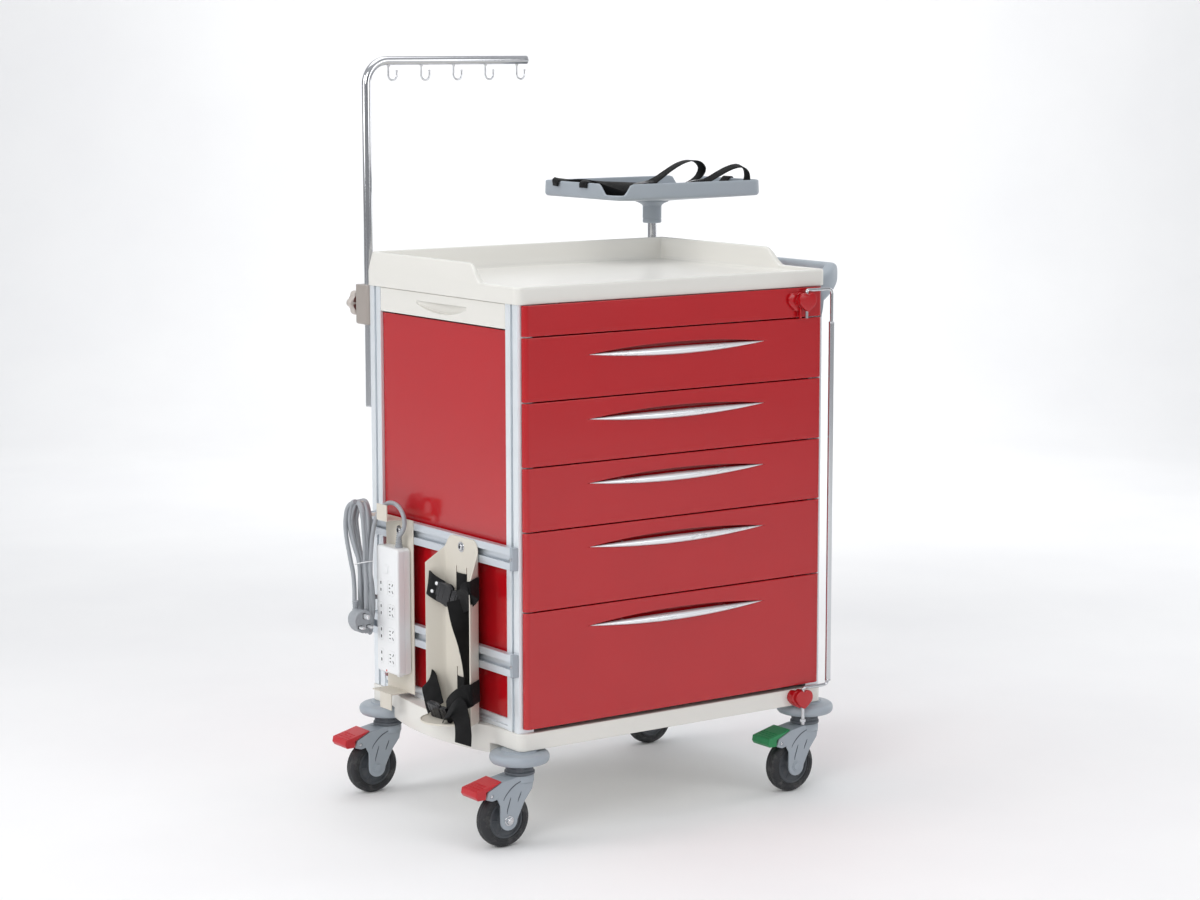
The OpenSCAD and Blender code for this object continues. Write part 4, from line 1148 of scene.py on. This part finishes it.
def defib_tray():
    P = perimeter(171, 124.5, 19, 44, 12)

    def full(x, y, nx, ny):
        if x * y < 0:
            return 1.0
        if abs(nx) > 0.999:
            d, a, b = 124.5 - abs(y), 38, 64
        elif abs(ny) > 0.999:
            d, a, b = 171 - abs(x), 18, 37
        else:
            return 0.0
        t = min(max((d - a) / (b - a), 0), 1)
        return t * t * (3 - 2 * t)
    rs = []
    for (x, y), (nx, ny) in P:
        k = full(x, y, nx, ny)
        zt = 1064.8 + 20.2 * k
        q = []

        def add(d, z):
            q.append((DX + x - nx * d, DY + y - ny * d, z))
        for a in (0, 18, 36, 54, 72, 90):
            c = math.radians(a)
            add(6.5 * (1 - math.sin(c)), 1055.4 + 6.5 * (1 - math.cos(c)))
        for t in (0.3, 0.6, 0.85):
            add(0.9 * k * t, max(1062.0, 1062 + (zt - 2.6 - 1062) * t))
        for a in (0, 30, 60, 90):
            c = math.radians(a)
            add(0.9 * k + 2.6 * (1 - math.cos(c)), zt - 2.6 * (1 - math.sin(c)))
        for a in (90, 60, 30, 0):
            c = math.radians(a)
            add(6.2 - 2.6 * (1 - math.cos(c)), zt - 2.6 * (1 - math.sin(c)))
        zf = min(1066.0, zt - 2.0)
        for a in (0, 30, 60, 90):
            c = math.radians(a)
            add(6.4 + 4.5 * (1 - math.cos(c)), zf - (zf - 1061) * math.sin(c))
        # underside, sloping to the hub
        rs.append(q)
    n = len(rs[0])
    m = len(rs)
    V = [p for q in rs for p in q]
    F = [(i * n + j, ((i + 1) % m) * n + j, ((i + 1) % m) * n + j + 1, i * n + j + 1) for i in range(m) for j in range(n - 1)]
    F.append(tuple(i * n + n - 1 for i in range(m)))
    base = len(V)
    steps = 6
    for s in range(1, steps + 1):
        t = s / steps
        for i in range(m):
            x, y, z = V[i * n]
            a = math.atan2(y - DY, x - DX)
            hx, hy = DX + 38 * math.cos(a), DY + 38 * math.sin(a)
            V.append((x + (hx - x) * t, y + (hy - y) * t, 1055.4 - 9.2 * t ** 0.9))
    for s in range(steps):
        for i in range(m):
            k = (i + 1) % m
            a = i * n if s == 0 else base + (s - 1) * m + i
            b = k * n if s == 0 else base + (s - 1) * m + k
            F.append((a, base + s * m + i, base + s * m + k, b))
    F.append(tuple(base + (steps - 1) * m + i for i in range(m)))
    build("defib_tray_moulding", V, F, "grey_plastic", "defib_shelf", 40, ("defib_tray",))
    # stiffening ribs under the tray and a raised border on its floor
    parts = []
    for a in (25, 155, 205, 335):
        t = math.radians(a)
        c, s = math.cos(t), math.sin(t)
        r1 = 118
        vs = []
        for r, zl in ((30, 1045.3), (r1, 1054.0)):
            for w in (-1.5, 1.5):
                for z in (zl - 1.8 if r < 60 else zl - 0.4, zl + 4):
                    vs.append((DX + r * c - w * s, DY + r * s + w * c, max(z, 1044.9)))
        fs = [(0, 1, 3, 2), (4, 6, 7, 5), (0, 4, 5, 1), (2, 3, 7, 6), (0, 2, 6, 4), (1, 5, 7, 3)]
        parts.append((vs, fs))
    o = rounded_rect(300, 207, 10, 6, DX, DY)
    n = len(o)
    lv = [(o, 1060.9), (inset(o, 0.4), 1061.5), (inset(o, 2.0), 1061.5), (inset(o, 2.4), 1060.9)]
    vs = [(x, y, z) for q, z in lv for x, y in q]
    fs = [(r * n + k, r * n + (k + 1) % n, ((r + 1) % 4) * n + (k + 1) % n, ((r + 1) % 4) * n + k) for r in range(4) for k in range(n)]
    parts.append((vs, fs))
    V, F = merge(parts)
    build("defib_tray_ribs", V, F, "grey_plastic", "defib_shelf", 40)
    # collar, turned, with a chamfer and a groove
    prof = [(8.56, 1003.2), (16.6, 1003.2), (18, 1004.6), (18, 1010), (17.4, 1010.6), (17.4, 1011.6), (18, 1012.2), (18, 1034), (18.6, 1036.6), (20.5, 1038.6),
            (25, 1041.2), (30, 1043.0), (31.5, 1044.0), (31.5, 1046.2), (8.56, 1046.2)]
    V, F = lathe(prof, 72, (DX, DY, 0), "Z", closed=True)
    build("defib_collar_turned", V, F, "grey_plastic", "defib_shelf", 38, ("defib_collar",))


defib_tray()


def defib_straps():
    def over_rim(y):
        return [(DX - 171 - 1.7, y, 1075.5), (DX - 171 - 1.9, y, 1082), (DX - 171 + 0.2, y, 1086.2), (DX - 171 + 5.0, y, 1087.2), (DX - 171 + 11, y, 1086.2)]
    yA = 245
    a = over_rim(yA) + [(190, yA, 1080.5), (225, yA - 1, 1074), (262, yA - 3, 1072.5), (286, yA - 4, 1076), (312, yA - 5, 1088), (338, yA - 6, 1103), (364, yA - 7, 1115.5), (388, yA - 7, 1120.5),
                        (407, yA - 7, 1117), (417, yA - 7, 1106), (413, yA - 6, 1093), (400, yA - 6, 1083), (384, yA - 5, 1076), (368, yA - 4, 1070.5), (352, yA - 3, 1066)]
    a_up = [(-1, 0, 0), (-1, 0, 0), (-0.5, 0, 0.87), (0, -0.1, 1), (0.1, -0.2, 1), (0.15, -0.45, 0.9), (0.1, -0.55, 0.84), (0, -0.5, 0.87), (-0.2, -0.35, 0.9), (-0.45, -0.1, 0.88), (-0.5, 0, 0.87), (-0.45, 0, 0.9), (-0.15, 0, 0.99), (0.6, 0, 0.8), (0.95, 0, 0.3), (0.9, 0, -0.4), (0.65, 0, -0.76), (0.45, 0, -0.9), (0.35, 0, -0.94), (0.3, 0, -0.95)]
    strap("defib_strap_main", a, 25, a_up[:len(a)], "defib_shelf", reps=("defib_straps",))
    yB = 337
    b = over_rim(yB) + [(190, yB - 3, 1082), (228, yB - 20, 1079), (270, yB - 52, 1077), (318, yB - 92, 1075), (350, yB - 122, 1075), (374, yB - 142, 1079), (392, yB - 152, 1086)]
    c = [(410, 179, 1096), (428, 175, 1105), (446, 172, 1110.5), (461, 171, 1110), (471, 170, 1102), (474, 170, 1090), (471, 170, 1078), (464, 171, 1068), (450, 173, 1063.6), (420, 180, 1062.8), (380, 196, 1062.8)]
    strap("defib_strap_cross", b + c, 25, (0, 0, 1), "defib_shelf", side=(0.2, 1, 0.22))
    d = [(300, 240, 1064), (330, 242, 1063.4), (380, 244, 1063.4), (430, 245, 1064), (462, 245, 1070), (474, 245, 1078), (480, 245, 1084), (484, 245, 1087.2), (488.2, 245, 1086.2), (489.6, 245, 1081), (489.4, 245, 1075)]
    strap("defib_strap_right", d, 25, (0, 0, 1), "defib_shelf", side=(0, 1, 0))
    # slack lengths lying in the tray, seen through the corner notch
    e = [(158, 326, 1072), (161, 300, 1077), (166, 272, 1079), (172, 246, 1077), (181, 220, 1071), (192, 194, 1065.5), (206, 172, 1063), (240, 163, 1063), (300, 166, 1063), (360, 186, 1063)]
    strap("defib_strap_slack", e, 25, [(1, 0, 0.35), (1, 0, 0.4), (1, 0, 0.45), (1, 0, 0.5), (0.9, 0, 0.6), (0.7, 0.2, 0.8), (0.2, 0.2, 1), (0, 0, 1), (0, 0, 1), (0, 0, 1)], "defib_shelf")
    g = [(176, 330, 1064), (200, 318, 1070), (232, 300, 1073), (262, 290, 1070), (300, 286, 1064), (340, 300, 1063), (380, 322, 1063)]
    strap("defib_strap_slack_2", g, 25, (0, 0, 1), "defib_shelf", side=(0.45, 0.9, 0.5))
    buckle("defib_buckle_a", (280, 241, 1079), (1, 0, 0.2), (0, 1, 0), "defib_shelf", 0.72)
    buckle("defib_buckle_b", (372, 199, 1082), (0.80, -0.50, 0.22), (0.53, 0.80, 0), "defib_shelf", 0.7)
    # ladder slides where the loops close
    parts = []
    for cx_, cy_, cz_ in ((356, 241.5, 1068.2), (436, 176, 1066.0)):
        for dx in (-8, 0, 8):
            parts.append(prism(rounded_rect(2.6, 30, 1.1, 3, cx_ + dx, cy_), cz_ - 1.4, cz_ + 2.4, 0.7, 0.7, 2))
        for dy in (-14, 14):
            parts.append(prism(rounded_rect(20, 2.6, 1.1, 3, cx_, cy_ + dy), cz_ - 1.4, cz_ + 2.4, 0.7, 0.7, 2))
    V, F = merge(parts)
    build("defib_strap_slides", V, F, "buckle", "defib_shelf", 40, slot="webbing")


defib_straps()

# ------------------------------------------------------------------ casters


def caster(tag, sx, sy):
    cx_, cy_ = sx * 311.0, sy * 216.0
    fork, wheel, pedal = f"{tag}_fork", f"{tag}_wheel", f"{tag}_pedal"
    rounded(f"{tag}_fork", 1.3, 3)
    colour = "pedal_green" if tag == "fr" else "pedal_red"
    rounded(f"{tag}_pedal", 1.2, 3)
    # side grooves drawn as dark tubes of painted shade, axle nuts and pivot rivets
    parts = []
    lines = [[(-46, 84), (-44.5, 88), (-40, 94), (-33, 101), (-24, 107.5), (-14, 111.8), (-4, 114.6), (4, 115.4)],
             [(-31.5, 88), (-33.5, 82), (-36.5, 73), (-38.6, 66), (-39, 60)],
             [(-10.5, 95.5), (-12.5, 90), (-15.2, 84.5), (-17.6, 78)]]
    for s in (-1, 1):
        for ln in lines:
            P = smooth_path([(cx_ + x, cy_ + s * 20.85, z) for x, z in ln], 5)
            parts.append(tube(P, lambda t: 0.25 + 0.75 * math.sin(math.pi * min(max(t, 0.02), 0.98)) ** 0.5, 8))
    V, F = merge(parts)
    build(f"{tag}_fork_groove_shade", V, F, "groove_dark", fork, 50, slot="grey_plastic")
    parts = []
    for s in (-1, 1):
        ax, az = cx_ - 35, 48
        y0 = cy_ + s * 20.9
        if tag in ("fl", "br") or s > 0:
            hexr = [(ax + 6.4 * math.cos(math.radians(60 * k + 10)), az + 6.4 * math.sin(math.radians(60 * k + 10))) for k in range(6)]
            dense = []
            for a, b in zip(hexr, hexr[1:] + hexr[:1]):
                for t in (0.06, 0.94):
                    dense.append((a[0] + (b[0] - a[0]) * t, a[1] + (b[1] - a[1]) * t))
            lo_, hi_ = sorted((y0 + s * 1.0, y0 + s * 4.6))
            parts.append(prism(dense, lo_, hi_, 0.8 if s < 0 else 0, 0.8 if s > 0 else 0, 3, xz_to))
            parts.append(lathe([(0.01, y0), (8.6, y0), (8.8, y0 + s * 0.7), (8.4, y0 + s * 1.2), (0.01, y0 + s * 1.2)], 40, (ax, 0, az), "Y"))
            parts.append(lathe([(0.01, y0 + s * 4.4), (3.4, y0 + s * 4.4), (3.4, y0 + s * 5.2), (2.6, y0 + s * 6.0), (0.01, y0 + s * 6.0)], 24, (ax, 0, az), "Y"))
        parts.append(lathe([(3.4, y0 - s * 0.5), (3.3, y0 + s * 0.4), (2.6, y0 + s * 1.1), (1.4, y0 + s * 1.5), (0.01, y0 + s * 1.6)], 24, (cx_ - 70, 0, 95), "Y"))
    V, F = merge(parts)
    build(f"{tag}_axle_nuts", V, F, "chrome", fork, 38, slot="steel")
    caps = []
    for s in (-1, 1):
        if not (tag in ("fl", "br") or s > 0):
            y0 = cy_ + s * 20.9
            caps.append(lathe([(9.2, y0 - s * 0.5), (9.2, y0 + s * 0.6), (8.6, y0 + s * 1.2), (7.4, y0 + s * 1.2), (7.1, y0 + s * 1.0), (0.01, y0 + s * 1.0)], 40, (cx_ - 35, 0, 48), "Y"))
    # swivel head: raised ring and a shoulder under the nut
    caps.append(lathe([(24.1, 108.5), (24.6, 110), (24.6, 117.5), (23.6, 119.6), (21.8, 120.8), (19, 121.1), (6.2, 121.1)], 64, (cx_, cy_, 0), "Z"))
    V, F = merge(caps)
    build(f"{tag}_fork_caps", V, F, "grey_plastic", fork, 38)
    # wheel
    ax, az = cx_ - 35, 48
    half = [(4.05, 15.5), (6.4, 15.5), (9.5, 15.3), (13.2, 14.6), (14.0, 13.8), (14.3, 11.2), (15.2, 9.0), (17.5, 8.2), (22, 8.0), (26.5, 8.3), (28.4, 9.2), (29.2, 10.9), (30, 11.4), (32.4, 11.4), (33.05, 10.8)]
    prof = half + [(r, -y) for r, y in half[::-1]]
    V, F = lathe([(r, cy_ + y) for r, y in prof], 96, (ax, 0, az), "Y", closed=True)
    parts = [(V, F)]
    for k in range(6):
        a = math.pi / 3 * k
        for s in (-1, 1):
            c0 = (ax + 21.5 * math.cos(a), az + 21.5 * math.sin(a))
            poly = [(c0[0] + u * math.cos(a) - v * math.sin(a), c0[1] + u * math.sin(a) + v * math.cos(a)) for u, v in rounded_rect(12, 2.4, 1.1, 3)]
            lo_, hi_ = sorted((cy_ + s * 7.6, cy_ + s * 9.3))
            parts.append(prism(poly, lo_, hi_, 0.6 if s < 0 else 0, 0.6 if s > 0 else 0, 2, xz_to))
    V, F = merge(parts)
    build(f"{tag}_hub_dished", V, F, "hub_grey", wheel, 35, (f"{tag}_hub",))
    half = [(33.1, 12.2), (34.2, 12.9), (35.6, 13.0), (36.4, 12.3), (37.4, 12.3), (38.2, 13.1), (40, 13.1), (42.6, 12.6), (44.8, 11.3), (46.4, 9.4), (47.4, 7.0), (47.9, 4.0), (47.6, 3.4), (47.6, 2.9), (48.0, 2.4), (48.0, 0.0)]
    prof = half + [(r, -y) for r, y in half[-2::-1]]
    V, F = lathe([(r, cy_ + y) for r, y in prof], 128, (ax, 0, az), "Y", closed=True)
    build(f"{tag}_tyre_tread", V, F, "tyre_grey", wheel, 45, (f"{tag}_tyre",))
    # grip ribs on the pedal
    parts = []
    for k in range(4):
        t = k / 3
        x, z = -98.0 + 6.2 * k, 108.4 + 1.55 * k
        parts.append(tube([(cx_ + x, cy_ - 19 + 0.5 * k, z), (cx_ + x, cy_ + 19 - 0.5 * k, z)], 0.8, 8))
    for k in range(3):
        x, z = -63.5 + 4.2 * k, 115.7 + 1.05 * k
        parts.append(tube([(cx_ + x, cy_ - 13, z), (cx_ + x, cy_ + 13, z)], 0.6, 8))
    V, F = merge(parts)
    build(f"{tag}_pedal_grips", V, F, colour, pedal, 50)


for tag, sx, sy in (("fl", -1, -1), ("fr", 1, -1), ("bl", -1, 1), ("br", 1, 1)):
    caster(tag, sx, sy)

# ------------------------------------------------------------------ stage, light, camera


def stage():
    m = Nodes("studio_floor")
    m.link(m.mix(m.ramp(m.noise(2, 4), 0, 1), (0.90, 0.90, 0.905, 1), (0.93, 0.93, 0.93, 1)), m.b.inputs["Base Color"])
    m.b.inputs["Roughness"].default_value = 0.75
    m.b.inputs["Specular IOR Level"].default_value = 0.2
    prof = [(-9, 0), (4.2, 0)] + [(4.2 + 1.8 * math.sin(math.radians(a)), 1.8 - 1.8 * math.cos(math.radians(a))) for a in range(6, 91, 6)] + [(6.0, 7.5)]
    V, F = [], []
    # turned to face the camera
    ca, sa = math.cos(math.radians(-35.2)), math.sin(math.radians(-35.2))
    for i, (y, z) in enumerate(prof):
        for x in (-11, 11):
            V.append((x * ca - y * sa * -1 * -1, x * sa + y * ca, z))
    for i in range(len(prof) - 1):
        F.append((2 * i, 2 * i + 1, 2 * i + 3, 2 * i + 2))
    me = bpy.data.meshes.new("studio_sweep")
    me.from_pydata(V, [], F)
    me.materials.append(m.mat)
    for p in me.polygons:
        p.use_smooth = True
    ob = link_object("studio_sweep", me)
    ob.location.z = -0.0006


stage()


def area(name, loc, target, size, power, colour=(1, 1, 1), size_y=None):
    li = bpy.data.lights.new(name, "AREA")
    li.energy, li.size, li.color = power, size, colour
    if size_y:
        li.shape, li.size_y = "RECTANGLE", size_y
    ob = bpy.data.objects.new(name, li)
    ob.location = loc
    ob.rotation_mode = "QUATERNION"
    ob.rotation_quaternion = (Vector(target) - Vector(loc)).to_track_quat("-Z", "Y")
    bpy.context.scene.collection.objects.link(ob)
    return ob


area("key_left", (-3.4, -2.4, 2.6), (0, 0, 0.6), 2.2, 55, (1, 0.997, 0.99), 2.4)
area("side_left", (-3.9, 1.0, 2.0), (0, 0, 0.6), 1.8, 44, (1, 1, 1), 2.2)
area("fill_front", (1.8, -4.4, 1.9), (0, 0, 0.6), 2.0, 34, (0.99, 0.995, 1), 2.0)
area("fill_right", (3.6, -0.2, 1.8), (0, 0, 0.6), 1.6, 24, (1, 1, 1), 2.2)
area("top_soft", (-0.2, 0.4, 3.6), (0, 0, 0.5), 2.6, 32, (1, 1, 1), 2.4)
area("back_wash", (1.9, 2.4, 2.8), (3.4, 4.8, 1.2), 2.4, 60, (1, 1, 1), 2.0)

world = bpy.data.worlds.new("studio")
world.use_nodes = True
wt = world.node_tree
bg = wt.nodes.get("Background") or wt.nodes.new("ShaderNodeBackground")
geo = wt.nodes.new("ShaderNodeTexCoord")
sep = wt.nodes.new("ShaderNodeSeparateXYZ")
wt.links.new(geo.outputs["Generated"], sep.inputs[0])
rmp = wt.nodes.new("ShaderNodeValToRGB")
el_ = rmp.color_ramp.elements
el_[0].position, el_[0].color = 0.0, (0.55, 0.56, 0.58, 1)
el_[1].position, el_[1].color = 1.0, (0.95, 0.97, 1.0, 1)
for pos, c in ((0.06, (0.16, 0.165, 0.175, 1)), (0.22, (0.34, 0.35, 0.37, 1)), (0.45, (0.85, 0.87, 0.9, 1))):
    e_ = el_.new(pos)
    e_.color = c
wt.links.new(sep.outputs["Z"], rmp.inputs[0])
wt.links.new(rmp.outputs[0], bg.inputs["Color"])
bg.inputs["Strength"].default_value = 0.62
bpy.context.scene.world = world
bpy.context.scene.view_settings.view_transform = "Standard"
bpy.context.scene.view_settings.look = "None"

cam_data = bpy.data.cameras.new("photo_camera")
cam_data.sensor_fit = "HORIZONTAL"
cam_data.sensor_width = 36.0
cam_data.lens = 84.94
cam_data.clip_end = 60
cam = bpy.data.objects.new("photo_camera", cam_data)
bpy.context.scene.collection.objects.link(cam)
az, el, roll = math.radians(-35.2168), math.radians(8.2801), math.radians(-0.0642)
back = Vector((math.sin(az) * math.cos(el), -math.cos(az) * math.cos(el), math.sin(el)))
cam.rotation_mode = "QUATERNION"
cam.rotation_quaternion = (-back).to_track_quat("-Z", "Y") @ Matrix.Rotation(roll, 4, "Z").to_quaternion()
cam.location = W((-2890.0, -4107.1, 1352.6))
bpy.context.scene.camera = cam
